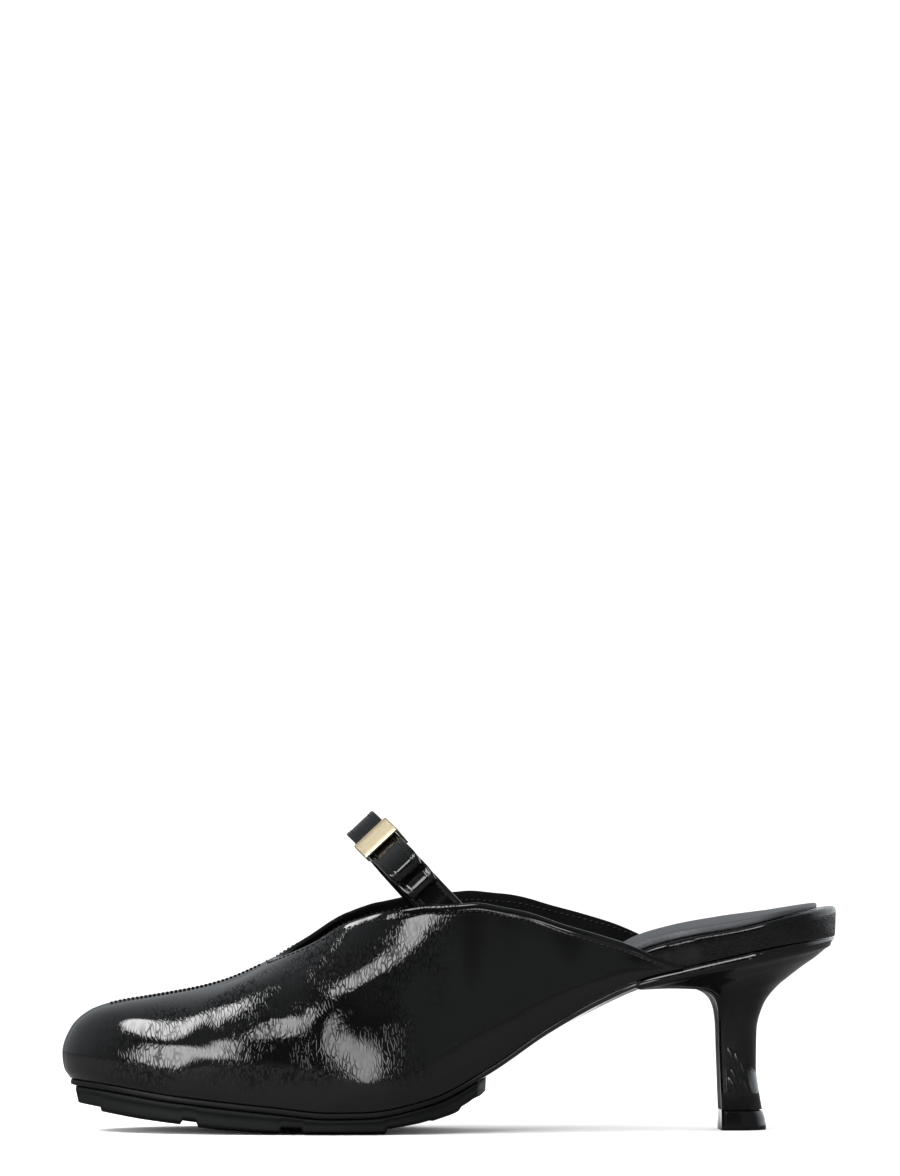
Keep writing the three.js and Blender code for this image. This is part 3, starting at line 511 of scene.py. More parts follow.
def make_stitches(name, lines, look, step=stitch_step, long=stitch_long, width=thread):
    """Thread stitches along lines of [points, normals]: each stitch is a spindle six faces round
    whose ends dive under the surface, tilted a little as a lock stitch lies."""
    per_stitch = 30
    around = np.arange(6) / 6 * 2 * np.pi
    along = np.array([-0.5, -0.36, 0, 0.36, 0.5])
    thick = np.array([0.35, 0.85, 1, 0.85, 0.35]) * width / 2
    lift = np.array([-0.3, 0.05, 0.28, 0.05, -0.3]) * width
    verts, quads = [], []
    ring = np.arange(6)
    grid = np.arange(5)[:, None] * 6
    template = np.stack(
        [
            grid[:-1] + ring,
            grid[1:] + ring,
            grid[1:] + np.roll(ring, -1),
            grid[:-1] + np.roll(ring, -1),
        ],
        -1,
    ).reshape(-1, 4)
    ends = np.array([[0, 1, 2, 3], [0, 3, 4, 5], [27, 26, 25, 24], [29, 28, 27, 24]])
    template = np.concatenate([template, ends])
    count = 0
    for points, normals in lines:
        place, tangent = resample(points, step)
        pick = np.linalg.norm(place[:, None] - points[None], axis=-1).argmin(1)
        normal = unit(normals[pick] - tangent * (normals[pick] * tangent).sum(-1, keepdims=True))
        across = np.cross(normal, tangent)
        tilt = unit(tangent + 0.12 * across)
        across = np.cross(normal, tilt)
        sideways = (np.cos(around) * thick[:, None])[None, :, :, None]
        upward = (np.sin(around) * thick[:, None] + lift[:, None])[None, :, :, None]
        local = (
            (tilt[:, None] * along[None, :, None] * long)[:, :, None]
            + across[:, None, None] * sideways
            + normal[:, None, None] * upward
        )
        verts.append((place[:, None, None] + local).reshape(-1, 3))
        first = count + np.arange(len(place)) * per_stitch
        quads.append((template[None] + first[:, None, None]).reshape(-1, 4))
        count += len(place) * per_stitch
    quads = np.concatenate(quads)
    piece = add_mesh(name, np.concatenate(verts), quads, [look], np.zeros(len(quads), int))
    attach(piece, "root")
    return piece


def patent_leather(name, wrinkle, cell, stretch, calm=None):
    """Leather under a poured clear film: nearly black below, a hard gloss on top. Lasting draws
    the film into a net of fine long grooves across the foot, so a highlight breaks up into short
    bright threads, and the film's gloss is cut down in the grooves as painted shade that draws thin
    dark lines in a highlight. A cell of the net is cell millimetres times stretch on the three
    axes, and calm gives the two places, along x less 0.2 z, between which the net and its painted
    shade fade out."""
    material, tree, surface = new_material(
        name,
        {
            "Base Color": linear("#050505"),
            "Roughness": 0.42,
            "IOR": 1.5,
            "Specular IOR Level": 0.0,
            "Coat Weight": 1.0,
            "Coat Roughness": 0.026,
            "Coat IOR": 1.52,
        },
    )
    place = add_node(tree, "TexCoord", {}, {}).outputs["Object"]
    warp = add_node(tree, "TexNoise", {}, {"Vector": place, "Scale": 95.0, "Detail": 2.0})
    bent = add_node(
        tree,
        "VectorMath",
        {"operation": "MULTIPLY_ADD"},
        {0: warp.outputs["Color"], 1: (0.005, 0.005, 0.005), 2: place},
    )
    scaled = add_node(
        tree, "VectorMath", times, {0: bent, 1: tuple(1000 / (cell * k) for k in stretch)}
    )
    net = add_node(
        tree, "TexVoronoi", {"feature": "DISTANCE_TO_EDGE"}, {"Vector": scaled, "Scale": 1.0}
    )
    # The net is strong in patches and broken by gaps. On the vamp it is calm behind the ball, along
    # the top and at the foot.
    patches = add_node(tree, "TexNoise", {}, {"Vector": place, "Scale": 70.0, "Detail": 2.0})
    gaps = add_node(tree, "TexNoise", {}, {"Vector": scaled, "Scale": 0.9, "Detail": 1.0})
    strengths = [
        add_node(tree, "MapRange", {}, {0: patches, 1: 0.4, 2: 0.56, 3: 0.2, 4: 1.0}),
        add_node(tree, "MapRange", {}, {0: gaps, 1: 0.3, 2: 0.44, 3: 0.2, 4: 1.0}),
    ]
    if calm:
        low, high = calm
        along = add_node(tree, "VectorMath", dot, {0: place, 1: (1, 0, -0.2)}).outputs["Value"]
        sides = add_node(tree, "SeparateXYZ", {}, {0: place})
        off_top = add_node(tree, "Math", {"operation": "ABSOLUTE"}, {0: sides.outputs["Y"]})
        raised = sides.outputs["Z"]
        strengths += [
            add_node(tree, "MapRange", eased, {0: along, 1: low, 2: high, 3: 1.0, 4: 0.05}),
            add_node(tree, "MapRange", eased, {0: off_top, 1: 0.01, 2: 0.024, 3: 0.1, 4: 1.0}),
            add_node(tree, "MapRange", eased, {0: raised, 1: 0.011, 2: 0.019, 3: 0.1, 4: 1.0}),
        ]
    amount = strengths[0]
    for strength in strengths[1:]:
        amount = add_node(tree, "Math", times, {0: amount, 1: strength})
    # Relief: broad unevenness, the grooves of the net, and a fine ripple between them.
    broad = add_node(tree, "TexNoise", {}, {"Vector": place, "Scale": 90.0, "Detail": 1.0})
    groove = add_node(tree, "MapRange", eased, {0: net, 1: 0.0, 2: 0.2})
    deep = add_node(tree, "Math", times, {0: groove, 1: amount})
    fine = add_node(tree, "TexNoise", {}, {"Vector": scaled, "Scale": 1.3, "Detail": 2.0})
    below = {}
    for height, high in [(broad, 0.00008), (deep, 0.000018), (fine, 0.000004)]:
        feeds = {"Height": height, "Strength": 1.0, "Distance": high * wrinkle} | below
        relief = add_node(tree, "Bump", {}, feeds)
        below = {"Normal": relief}
    # In the grooves the film's gloss is cut down: painted shade standing in for the shade in each
    # groove, which shows as thin dark lines in a highlight.
    line = add_node(tree, "MapRange", eased, {0: net, 1: 0.04, 2: 0.17, 3: 1.0, 4: 0.0})
    painted_groove_shade = add_node(tree, "Math", times, {0: line, 1: amount})
    film = add_node(tree, "MapRange", {}, {0: painted_groove_shade, 3: 1.0, 4: 1 - 0.74 * wrinkle**1.5})
    feed(tree, surface, {"Coat Weight": film, "Normal": relief, "Coat Normal": relief})
    return material


def smooth_lining(name, dark, light, gloss):
    """Vegetable-tanned pigskin lining: fine even pores and a satin finish with no film, between
    two tones; gloss is the strength of its sheen."""
    dark, light = linear(dark), linear(light)
    material, tree, surface = new_material(
        name, {"Base Color": dark, "Roughness": 0.5, "Specular IOR Level": gloss}
    )
    place = add_node(tree, "TexCoord", {}, {}).outputs["Object"]
    pores = add_node(tree, "TexVoronoi", {}, {"Vector": place, "Scale": 1400.0, "Randomness": 1.0})
    tone = add_node(tree, "TexNoise", {}, {"Vector": place, "Scale": 60.0, "Detail": 4.0})
    shade = add_node(tree, "Mix", colours, {0: tone, 6: dark, 7: light})
    rough = add_node(tree, "MapRange", {}, {0: tone, 3: 0.42, 4: 0.58})
    relief = add_node(tree, "Bump", {}, {"Height": pores, "Distance": 0.00008})
    feed(tree, surface, {"Base Color": shade.outputs[2], "Roughness": rough, "Normal": relief})
    return material


crinkled_patent = patent_leather("crinkled_patent_leather", 1.0, 0.95, (1, 3, 3.2), (-0.018, -0.008))
lining_leather = smooth_lining("satin_lining_leather", "#060606", "#0a0a0b", 0.03)
# Thread: twisted polyester drawn through wax, so it is matt with a weak sheen.
waxed_thread = new_material(
    "waxed_polyester_thread",
    {"Base Color": linear("#0a0a0b"), "Roughness": 0.5, "Specular IOR Level": 0.3},
)[0]

ribs_per_side = 170
rib_rows = 86
rib_gather = 1.1
lip_rows = 7
seam_foot = 0.08
press_starts = (1, 12)
share = np.arange(1, ribs_per_side + 1) / ribs_per_side
spread = 0.2
run = (1 + spread) * share**2 / (share + spread)
foot_outer = toe_overhang + (outer_wing_end - toe_overhang) * run
foot_inner = toe_overhang + (inner_wing_end - toe_overhang) * run
foot = np.concatenate([foot_outer[::-1], [toe_overhang], foot_inner])[:, None]
side = np.concatenate([-np.ones(ribs_per_side), np.ones(ribs_per_side + 1)])[:, None]
skive = np.concatenate([share[::-1], [0], share])[:, None]
rib = (np.linspace(0, 1, rib_rows) ** rib_gather)[None]

rib_long = np.linalg.norm(
    np.diff(upper_face(foot, side, np.linspace(0, 1, 30)[None]), axis=1), axis=-1
).sum(1)[:, None]
wall = mix(upper_wall, wing_edge, smooth(skive, wing_skive, 1))
lip_share = wall / 2 / rib_long
face = upper_face(foot, side, rib * (1 - lip_share))
along_face = np.gradient(face, axis=0)
up_face = np.gradient(face, axis=1)
up_face[:, 0] = (0, 0, 1)
normal = unit(np.cross(up_face, along_face))
seam_row = ribs_per_side
from_seam = np.linalg.norm(face - face[seam_row], axis=-1)
seam = seam_height * (1 - smooth(from_seam, seam_width * 0.3, seam_width * 0.5))
seam = seam * smooth(rib, 0, seam_foot)
to_top = (1 - rib) * rib_long
past_throat = smooth(face[:, -1:, 0], throat_at, throat_at + cord_run)
cord = edge_cord * (1 - smooth(to_top, *cord_width)) * past_throat
valley = -stitch_press * np.exp(-(((to_top - stitch_inset) / stitch_press_width) ** 2))
valley = valley * smooth(rib_long, *press_starts) * past_throat
shift_s, shift_z = (np.where(side < 0, 0, shift) for shift in inner_crease_shift)
folds = crease_height(face[..., 0] - shift_s, face[..., 2] - shift_z, creases)
outer = face + normal * (seam + cord + valley + folds)[..., None]
inner = face - normal * wall[..., None]
top_up = unit(face[:, -1] - face[:, -4])[:, None]
turn = np.linspace(0, np.pi, lip_rows + 2)[None, 1:-1, None]
lip_middle = (outer[:, -1:] + inner[:, -1:]) / 2
lip_half = (outer[:, -1:] - inner[:, -1:]) / 2
lip = lip_middle + lip_half * np.cos(turn) + top_up * (wall / 2)[..., None] * np.sin(turn)
shell = np.concatenate([outer, lip, inner[:, ::-1]], axis=1)
rows = shell.shape[1]
inside = np.arange(rows) >= rib_rows + lip_rows - 2
upper = make_piece(
    "patent_upper",
    shell,
    False,
    [crinkled_patent, lining_leather],
    np.broadcast_to(inside, (len(shell) - 1, rows)).astype(int),
)
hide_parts("upper")
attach(upper, "root")


def line_on_upper(down, out):
    """A line on the upper at a distance below the topline, raised by out, with its normals."""
    at = np.clip(1 - down / rib_long[:, 0], 0, 1) ** (1 / rib_gather) * (rib_rows - 1)
    low = np.floor(at).astype(int)
    t = (at - low)[:, None]
    high = np.minimum(low + 1, rib_rows - 1)
    i = np.arange(len(face))
    spot = mix(outer[i, low], outer[i, high], t)
    level = unit(mix(normal[i, low], normal[i, high], t))
    keep = rib_long[:, 0] > down * 2.5
    return (spot + level * out)[keep], level[keep]


long_enough = rib_long[:, 0] > 6
inside_out = -normal[:, -4]
inside_line = (inner[:, -4] + inside_out * thread_lift)[long_enough]
topline_stitches = make_stitches(
    "topline_stitches",
    [line_on_upper(stitch_inset, thread_lift), (inside_line, inside_out[long_enough])],
    waxed_thread,
)

seam_top = slice(34, -4)
seam_up = normal[seam_row, seam_top]
seam_path = outer[seam_row, seam_top] + seam_up * thread_lift
seam_side = unit(np.cross(np.gradient(seam_path, axis=0), seam_up))
seam_stitches = make_stitches(
    "seam_stitches",
    [(seam_path + seam_side * off, seam_up) for off in (-seam_stitch_off, seam_stitch_off)],
    waxed_thread,
    step=1.35,
    long=1.0,
    width=0.26,
)

# Outsole: a thin leatherboard sole with a waxed, polished black edge. Under the waist it swells
# into a rounded, glossy rib, and its front part is hidden by the rubber unit.
outsole_thickness = 1.7
waist_bulge = 2.0
heel_lip = 0.7333 * shoe_length
sole_past_lip = 0.8
waist_run = (0.42 * shoe_length, 0.6 * shoe_length)
station_gather = 1.8
# Edge profiles go from top to bottom: `down` is a share of the thickness and `out` a distance.
outsole_edge = {
    "down": [0, 0.06, 0.2, 0.45, 0.65, 0.82, 0.95, 1],
    "out": [-0.4, -0.12, 0, 0.04, 0.04, 0, -0.2, -0.5],
}


def toe_stations(start, end, count):
    """Stations from start to end, closer together toward the rounded toe."""
    return start + (end - start) * (np.arange(count + 1) / count) ** station_gather


def outsole_top(s):
    """The sole lies just under the feather line."""
    return feather_z(s) - clearance


def outsole_bottom(s, reach):
    """The sole's underside, with the waist's swell across it."""
    swell = waist_bulge * smooth(s, *waist_run) * (1 - reach**2)
    return outsole_top(s) - outsole_thickness - swell


def slab_points(s, inset, top_at, bottom_at, edge, bend=None, columns=16):
    """Rings round the sections of a flat piece of the sole: across its top, down its edge
    profile, and back under it. inset, top_at and bottom_at are functions of the place, and bend
    moves it along the shoe."""
    down, out = (np.array(edge[name])[:, None, None] for name in ("down", "out"))
    s = s[None, :, None]
    edges = [outline(s, side, inset(s, side) - out)[:2] for side in (-1, 1)]
    t = (1 - np.cos(np.linspace(0, np.pi, columns)))[None, None] / 2
    t = mix(t, np.linspace(0, 1, columns)[None, None], 0.5)
    x = mix(edges[0][0], edges[1][0], t)
    y = mix(edges[0][1], edges[1][1], t)
    if bend is not None:
        x = x + bend(s, np.abs(2 * t - 1))
    reach = np.minimum(np.abs(y - sole_shift(x)) / np.maximum(sole_half(x), 0.01), 1)
    z = mix(top_at(x, reach), bottom_at(x, reach), down)
    grid = np.stack([x, y, z], -1)
    levels = len(down)
    right = grid[1:-1, :, -1].transpose(1, 0, 2)
    left = grid[1:-1, :, 0].transpose(1, 0, 2)
    ring = np.concatenate([grid[0], right, grid[-1, :, ::-1], left[:, ::-1]], axis=1)
    return np.roll(ring, (levels - 2) // 2, axis=1)


def polished_edge():
    """Leatherboard under layers of edge ink and wax: a soft gloss with faint streaks along it,
    and a clear coat from the shoe's middle back. Ahead of the middle the edge is left without it,
    painted shade that keeps it dark as under the upper's overhang."""
    material, tree, surface = new_material(
        "polished_sole_edge",
        {
            "Base Color": linear("#0c0c0c"),
            "Roughness": 0.4,
            "Specular IOR Level": 0.08,
            "Coat Roughness": 0.08,
        },
    )
    place = add_node(tree, "TexCoord", {}, {}).outputs["Object"]
    long = add_node(tree, "VectorMath", times, {0: place, 1: (120, 400, 900)})
    streak = add_node(tree, "TexNoise", {}, {"Vector": long, "Scale": 1.0, "Detail": 3.0})
    rough = add_node(tree, "MapRange", {}, {0: streak, 3: 0.3, 4: 0.5})
    at = add_node(tree, "SeparateXYZ", {}, {0: place}).outputs["X"]
    # No clear coat ahead of the shoe's middle: painted shade that keeps the forefoot edge dark.
    coat_behind_painted_shade = add_node(tree, "MapRange", eased, {0: at, 1: 0.0, 2: 0.02, 3: 0.0, 4: 1.0})
    relief = add_node(tree, "Bump", {}, {"Height": streak, "Distance": 0.00003})
    feed(tree, surface, {"Coat Weight": coat_behind_painted_shade, "Roughness": rough, "Normal": relief})
    return material


sole_edge = polished_edge()
outsole = make_piece(
    "polished_outsole",
    slab_points(
        toe_stations(toe_overhang * 1.1, heel_lip + sole_past_lip, 260),
        lambda s, side: 0,
        lambda s, reach: outsole_top(s),
        outsole_bottom,
        outsole_edge,
    ),
    False,
    [sole_edge],
)
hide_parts("outsole")
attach(outsole, "root")

# Forefoot sole: one moulded piece of matt black rubber under toe and ball. A rounded lip runs
# round its top edge, three broad lugs stand on its underside, and two steps end it behind.
unit_inset = 1.2
unit_end = 0.54 * shoe_length
unit_bow = 4
unit_bow_run = 0.12 * shoe_length
tread_depth = 1.4
tread_dome = 1.1
dome_from = 0.72
standing_from = 0.318 * shoe_length
standing_to = 0.398 * shoe_length
# The tread: its height is a share of the heel's, and a lug's depth one of the tread's depth.
unit_under = {
    "along": [0.018, 0.05, 0.1, 0.155, 0.2, 0.25, 0.3, 0.4, 0.45, 0.49, 0.5, 0.52, 0.55],
    "height": [0.15, 0.128, 0.093, 0.066, 0.045, 0.031, 0.0235, 0.0235, 0.05, 0.095, 0.11, 0.155, 0.215],
}
lugs = {
    "from": [0.05, 0.173, 0.306, 0.47, 0.506, 0.521],
    "to": [0.153, 0.278, 0.411, 0.506, 0.521, 0.545],
    "deep": [0.9, 1.0, 1.0, 0.3, -0.3, -0.5],
}
lug_edge = 0.175
station_gap = 0.5
unit_edge = {
    "down": [0, 0.03, 0.08, 0.14, 0.22, 0.29, 0.34, 0.4, 0.6, 0.86, 0.94, 0.98, 1, 1],
    "out": [0, 0.45, 0.68, 0.74, 0.7, 0.5, 0.2, 0, 0, 0, -0.1, -0.35, -0.6, -0.9],
}


def unit_bottom(s, reach):
    """The tread's height: its own curve less each lug's depth, flat where the shoe stands, and
    rising a little toward the edge."""
    depth = np.zeros(np.broadcast(s, reach).shape)
    for start, end, deep in zip(*lugs.values()):
        in_lug = (s > start * shoe_length) & (s < end * shoe_length)
        depth = np.where(in_lug, tread_depth * deep, depth)
    level = heel_height * curve(unit_under, "along", "height", s / shoe_length) - depth
    standing = (s > standing_from) & (s < standing_to)
    return np.where(standing, 0, np.maximum(level, 0)) + tread_dome * smooth(reach, dome_from, 1)


def moulded_rubber():
    """Moulded rubber: matt, with the fine spark-eroded grain of the mould and a bloom of wax."""
    material, tree, surface = new_material(
        "moulded_rubber", {"Base Color": linear("#0b0c0c"), "Roughness": 0.6, "Specular IOR Level": 0.1}
    )
    place = add_node(tree, "TexCoord", {}, {}).outputs["Object"]
    grain = add_node(tree, "TexNoise", {}, {"Vector": place, "Scale": 2200.0, "Detail": 2.0})
    bloom = add_node(tree, "TexNoise", {}, {"Vector": place, "Scale": 70.0, "Detail": 4.0})
    shade = add_node(tree, "Mix", colours, {0: bloom, 6: linear("#090a0a"), 7: linear("#0e0f0f")})
    rough = add_node(tree, "MapRange", {}, {0: bloom, 3: 0.5, 4: 0.65})
    relief = add_node(tree, "Bump", {}, {"Height": grain, "Distance": 0.00006})
    feed(tree, surface, {"Base Color": shade.outputs[2], "Roughness": rough, "Normal": relief})
    return material


rubber = moulded_rubber()
edges = np.array(lugs["from"] + lugs["to"]) * shoe_length
unit_stations = toe_stations(toe_overhang + unit_inset + 0.1, unit_end, 200)
unit_stations = unit_stations[np.abs(unit_stations[:, None] - edges).min(1) > station_gap]
unit_stations = np.unique(np.concatenate([unit_stations, edges - lug_edge, edges + lug_edge]))
forefoot_sole = make_piece(
    "rubber_forefoot",
    slab_points(
        unit_stations,
        lambda s, side: unit_inset,
        lambda s, reach: outsole_bottom(s, reach) - clearance,
        unit_bottom,
        unit_edge,
        bend=lambda s, reach: -unit_bow * smooth(s, unit_end - unit_bow_run, unit_end) * reach**2,
        columns=26,
    ),
    False,
    [rubber],
)
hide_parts("forefoot_sole")
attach(forefoot_sole, "root")

# Footbed: an insole board with its shank, wrapped in the patent. Behind the upper its rim shows
# as a tall rounded edge, where the leather is pulled over in small wrinkles.
rand_height = 9
insole_thickness = 2.4
wing_blend = 0.025 * shoe_length
bed_split = 0.7 * shoe_length
# How much of the rim's full height it has along the shoe.
rand = {
    "along": [0, 0.56, 0.66, 0.74, 0.79, 0.87, 0.92, 1],
    "full": [0, 0, 0.3, 0.93, 1, 0.86, 0.93, 1.1],
}
rim_edge = {
    "down": [0, 0.01, 0.03, 0.06, 0.1, 0.15, 0.22, 0.4, 0.6, 0.8, 0.9, 0.95, 0.98, 1],
    "out": [-1.7, -1.2, -0.78, -0.42, -0.18, -0.05, 0, -0.06, -0.14, -0.22, -0.27, -0.34, -0.46, -0.7],
}


def footbed_inset(s, side):
    """How far the footbed's edge lies inside the outline: within the walls, flush behind them."""
    wing = wing_end(side)
    return mix(upper_wall + clearance, 0, smooth(s, wing - wing_blend, wing + wing_blend))


def footbed_top(s):
    """Height of the footbed: the board's, rising to the full rim behind the upper."""
    full = curve(rand, "along", "full", s / shoe_length)
    return feather_z(s) + mix(insole_thickness, rand_height, full)


# The last ring is nearly a point, so that the cap over it doesn't show.
bed_tip = 0.0005
bed_end = shoe_length - bed_tip
back_share = np.arange(1, 201) / 200
bed_stations = np.concatenate(
    [
        toe_stations(toe_overhang + upper_wall * 1.5, bed_split, 150),
        bed_end - (bed_end - bed_split) * (1 - back_share) ** station_gather,
    ]
)
rim_patent = patent_leather("rim_patent_leather", 0.8, 0.7, (1.6, 1, 1))
footbed = make_piece(
    "wrapped_footbed",
    slab_points(
        bed_stations,
        footbed_inset,
        lambda s, reach: footbed_top(s),
        lambda s, reach: feather_z(s) + 0.02,
        rim_edge,
    ),
    False,
    [rim_patent],
)
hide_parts("footbed")
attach(footbed, "root")

# Sock: thin satin leather glued over foam, crowned at the seat. Its back is rounded and ends
# short of the rim.
sock_thickness = 1.7
sock_crown = 2.2
sock_margin = 2.2
sock_back_margin = 6
sock_start = 9.5
sock_rounds_from = 0.88 * shoe_length
crown_rise = (0.58 * shoe_length, 0.74 * shoe_length)
crown_fall = (0.85 * shoe_length, 0.95 * shoe_length)
sock_edge = {
    "down": [0, 0.04, 0.12, 0.25, 0.45, 0.75, 1, 1],
    "out": [-1.4, -0.75, -0.3, -0.08, 0, 0, -0.05, -0.3],
}


def sock_inset(s, side):
    """How far the sock lies inside the outline: the footbed's inset and a margin that grows
    toward the back."""
    behind = smooth(s, sock_rounds_from, shoe_length)
    return footbed_inset(s, side) + mix(sock_margin, sock_back_margin, behind)


def sock_top(s, reach):
    """The sock's top: its thickness, with the foam's crown across the seat."""
    crown = sock_crown * smooth(s, *crown_rise) * (1 - smooth(s, *crown_fall)) * (1 - reach**2)
    return footbed_top(s) + clearance + sock_thickness + crown


sock_leather = smooth_lining("satin_sock_leather", "#28292c", "#323438", 0.6)
sock_pad = make_piece(
    "padded_sock",
    slab_points(
        bed_stations[bed_stations > sock_start],
        sock_inset,
        sock_top,
        lambda s, reach: footbed_top(s) + clearance,
        sock_edge,
        columns=24,
    ),
    False,
    [sock_leather],
)
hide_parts("sock_pad")
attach(sock_pad, "root")

# Heel: moulded plastic covered in the patent, drawn tight from the back and glued down along
# the flat breast, where the cover's folded edge shows as a narrow band.
heel_inset = 0.6
lift_start = 0.849 * shoe_length
lift_height = 6.1
lift_length = 14.4
lift_width = 16
lift_flare = 1
lift_setback = 0.2
breast_band = 1.7
breast_count = 9
d_corner = 0.16
d_corner_way = 0.12
d_round_from = 0.4
band_groove = 0.2
band_groove_width = 0.28
band_rows = (10, 36)
side_end = 0.9995
# The heel at shares of the way down: its front and back with their heights, as shares of the
# shoe's length and the heel's height, and how much of the seat's and of the lift's width it has.
heel = {
    "down": [0, 0.1, 0.2, 0.3, 0.4, 0.5, 0.6, 0.7, 0.8, 0.9, 1],
    "front": [0.7333, 0.74, 0.775, 0.811, 0.83, 0.84, 0.844, 0.8455, 0.846, 0.847, 0.848],
    "front_up": [0.735, 0.73, 0.735, 0.73, 0.708, 0.667, 0.608, 0.533, 0.433, 0.317, 0.2],
    "back": [0.994, 0.993, 0.986, 0.974, 0.957, 0.94, 0.923, 0.9055, 0.897, 0.8962, 0.9],
    "back_up": [0.972, 0.955, 0.935, 0.895, 0.847, 0.795, 0.738, 0.643, 0.51, 0.327, 0.2],
    "seat": [0.97, 0.9, 0.71, 0.455, 0.255, 0.115, 0.035, 0, 0, 0, 0],
    "lift": [0, 0.09, 0.42, 0.81, 1.04, 1.14, 1.1, 1.04, 0.96, 0.945, 0.96],
}
# Wrinkles of the cover from one place (s, z) to another: ten drawn slantwise round the shaft
# above the tip, and three shallow ones below the seat.
heel_wrinkles = {
    "from_s": [205.6, 206.4, 207.6, 208.8, 210.2, 205.8, 207.2, 206.6, 208.3, 209.5, 211, 213.2, 208],
    "from_z": [26, 22.5, 25, 24, 21, 17, 14.5, 19.5, 21, 17.5, 57, 55, 52],
    "to_s": [209, 210.4, 211.6, 212.8, 213.2, 209.6, 211.4, 209.8, 211.2, 212.6, 213.4, 214.6, 211],
    "to_z": [17, 12.5, 14, 12.5, 11, 9.4, 8.4, 12, 11.5, 9, 50, 48, 47],
    "wide": [0.55, 0.5, 0.6, 0.5, 0.55, 0.5, 0.5, 0.4, 0.45, 0.4, 0.9, 0.8, 1.2],
    "high": [0.3, -0.22, 0.34, -0.26, 0.3, 0.26, -0.22, 0.26, 0.26, 0.24, 0.2, -0.16, -0.12],
}


def outline_d(way):
    """Half width of the D that heel and lift follow: a flat breast with rounded corners, and a
    half round back, as a share of the full half width."""
    breast = 1 - d_corner * (1 - np.minimum(way / d_corner_way, 1)) ** 2
    return breast * np.sqrt(1 - (np.maximum(way - d_round_from, 0) / (1 - d_round_from)) ** 2)


def half_ring(breast_count, side_count):
    """One half of a D from the breast's middle to the back: the share of the way back and the
    share of the half width there."""
    breast = np.linspace(0, 1, breast_count, endpoint=False)
    side = side_end * (1 - np.cos(np.linspace(0, np.pi, side_count))) / 2
    way = np.concatenate([np.zeros(breast_count), side])
    width = np.concatenate([breast, np.ones(side_count)])
    return way, width


cover_patent = patent_leather("covering_patent_leather", 0.4, 1.0, (1, 1, 1.6))
way, width = half_ring(breast_count, 90)
seat_s = mix(heel_lip, shoe_length - heel_inset, way)
seat_half = (sole_half(seat_s) - heel_inset) * width
seat_ring = np.stack([seat_s, seat_half, outsole_top(seat_s)], -1)[None]
seat_middle = sole_shift(seat_s)[None]

down = np.linspace(0, 1, 180)[:, None]
row = {name: curve(heel, "down", name, down) for name in heel if name != "down"}
plan_s = mix(heel_lip, shoe_length, way)[None]
body_half = sole_half(plan_s) * row["seat"] + lift_width / 2 * outline_d(way) * row["lift"]
body = np.stack(
    [
        shoe_length * mix(row["front"], row["back"], way),
        body_half * width,
        heel_height * mix(row["front_up"], row["back_up"], way),
    ],
    -1,
)
body_middle = sole_shift(plan_s) * row["seat"]
foot_s = lift_start + (lift_length - lift_flare - lift_setback) * way
foot_ring = np.stack(
    [foot_s, lift_width / 2 * outline_d(way) * width, np.full(way.shape, lift_height + clearance)], -1
)[None]
half_heel = np.concatenate([seat_ring, body, foot_ring])
middle = np.concatenate([seat_middle, np.broadcast_to(body_middle, body.shape[:2]), 0 * seat_middle])
around = np.linalg.norm(np.diff(half_heel, axis=1), axis=-1)
around = np.concatenate([np.zeros((len(half_heel), 1)), np.cumsum(around, axis=1)], axis=1)
past_band = around - around[:, breast_count : breast_count + 1] - breast_band
band_line = np.exp(-((past_band / band_groove_width) ** 2))
band_line = band_line * smooth(np.arange(len(half_heel)), *band_rows)[:, None]
half_heel[..., 1] -= band_groove * band_line
wrinkles = crease_height(half_heel[..., 0], half_heel[..., 2], heel_wrinkles)
half_heel[..., 1] += wrinkles * (width > 0.9)
outer_half = half_heel * [1, -1, 1]
inner_half = half_heel[:, ::-1]
heel_points = np.concatenate([outer_half, inner_half], axis=1)
heel_points[..., 1] += np.concatenate([middle, middle[:, ::-1]], axis=1)
place_on_ring = np.arange(2 * way.size)
breast = np.minimum(place_on_ring, place_on_ring[::-1] - 1) < breast_count - 1
heel_piece = make_piece(
    "covered_heel",
    heel_points,
    False,
    [cover_patent, lining_leather],
    np.broadcast_to(breast, (len(heel_points) - 1, breast.size)).astype(int),
)
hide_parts("heel")
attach(heel_piece, "root")

# Top lift: a hard polyurethane tip, ground to the heel's outline and glossy, flaring a little
# toward the floor. `down` is a share of its height, and `flare` one of its flare.
lift = {
    "down": [-0.055, 0, 0.02, 0.06, 0.15, 0.4, 0.75, 0.95, 0.985, 1],
    "flare": [-1.1, -0.9, -0.35, 0, 0.15, 0.7, 0.95, 1, 0.85, 0.4],
}
lift_down = np.array(lift["down"])[:, None]
flare = np.array(lift["flare"])[:, None]
lift_half = (lift_width / 2 - lift_setback + lift_flare / 2 * flare) * outline_d(way)[None] * width
lift_s = lift_start + (lift_length - lift_flare * (1 - flare)) * way[None]
lift_z = np.broadcast_to(lift_height * (1 - lift_down), lift_s.shape)
half_lift = np.stack([lift_s, lift_half, lift_z], -1)
lift_points = np.concatenate([half_lift * [1, -1, 1], half_lift[:, ::-1]], axis=1)
# Its ground faces keep a faint unevenness of gloss.
hard_plastic, tree, surface = new_material(
    "hard_polyurethane", {"Base Color": linear("#080808"), "Roughness": 0.22, "IOR": 1.45}
)
place = add_node(tree, "TexCoord", {}, {}).outputs["Object"]
scuff = add_node(tree, "TexNoise", {}, {"Vector": place, "Scale": 300.0})
rough = add_node(tree, "MapRange", {}, {0: scuff, 3: 0.1, 4: 0.22})
feed(tree, surface, {"Roughness": rough})
top_lift = make_piece("heel_tip", lift_points, False, [hard_plastic])
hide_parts("top_lift")
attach(top_lift, "root")

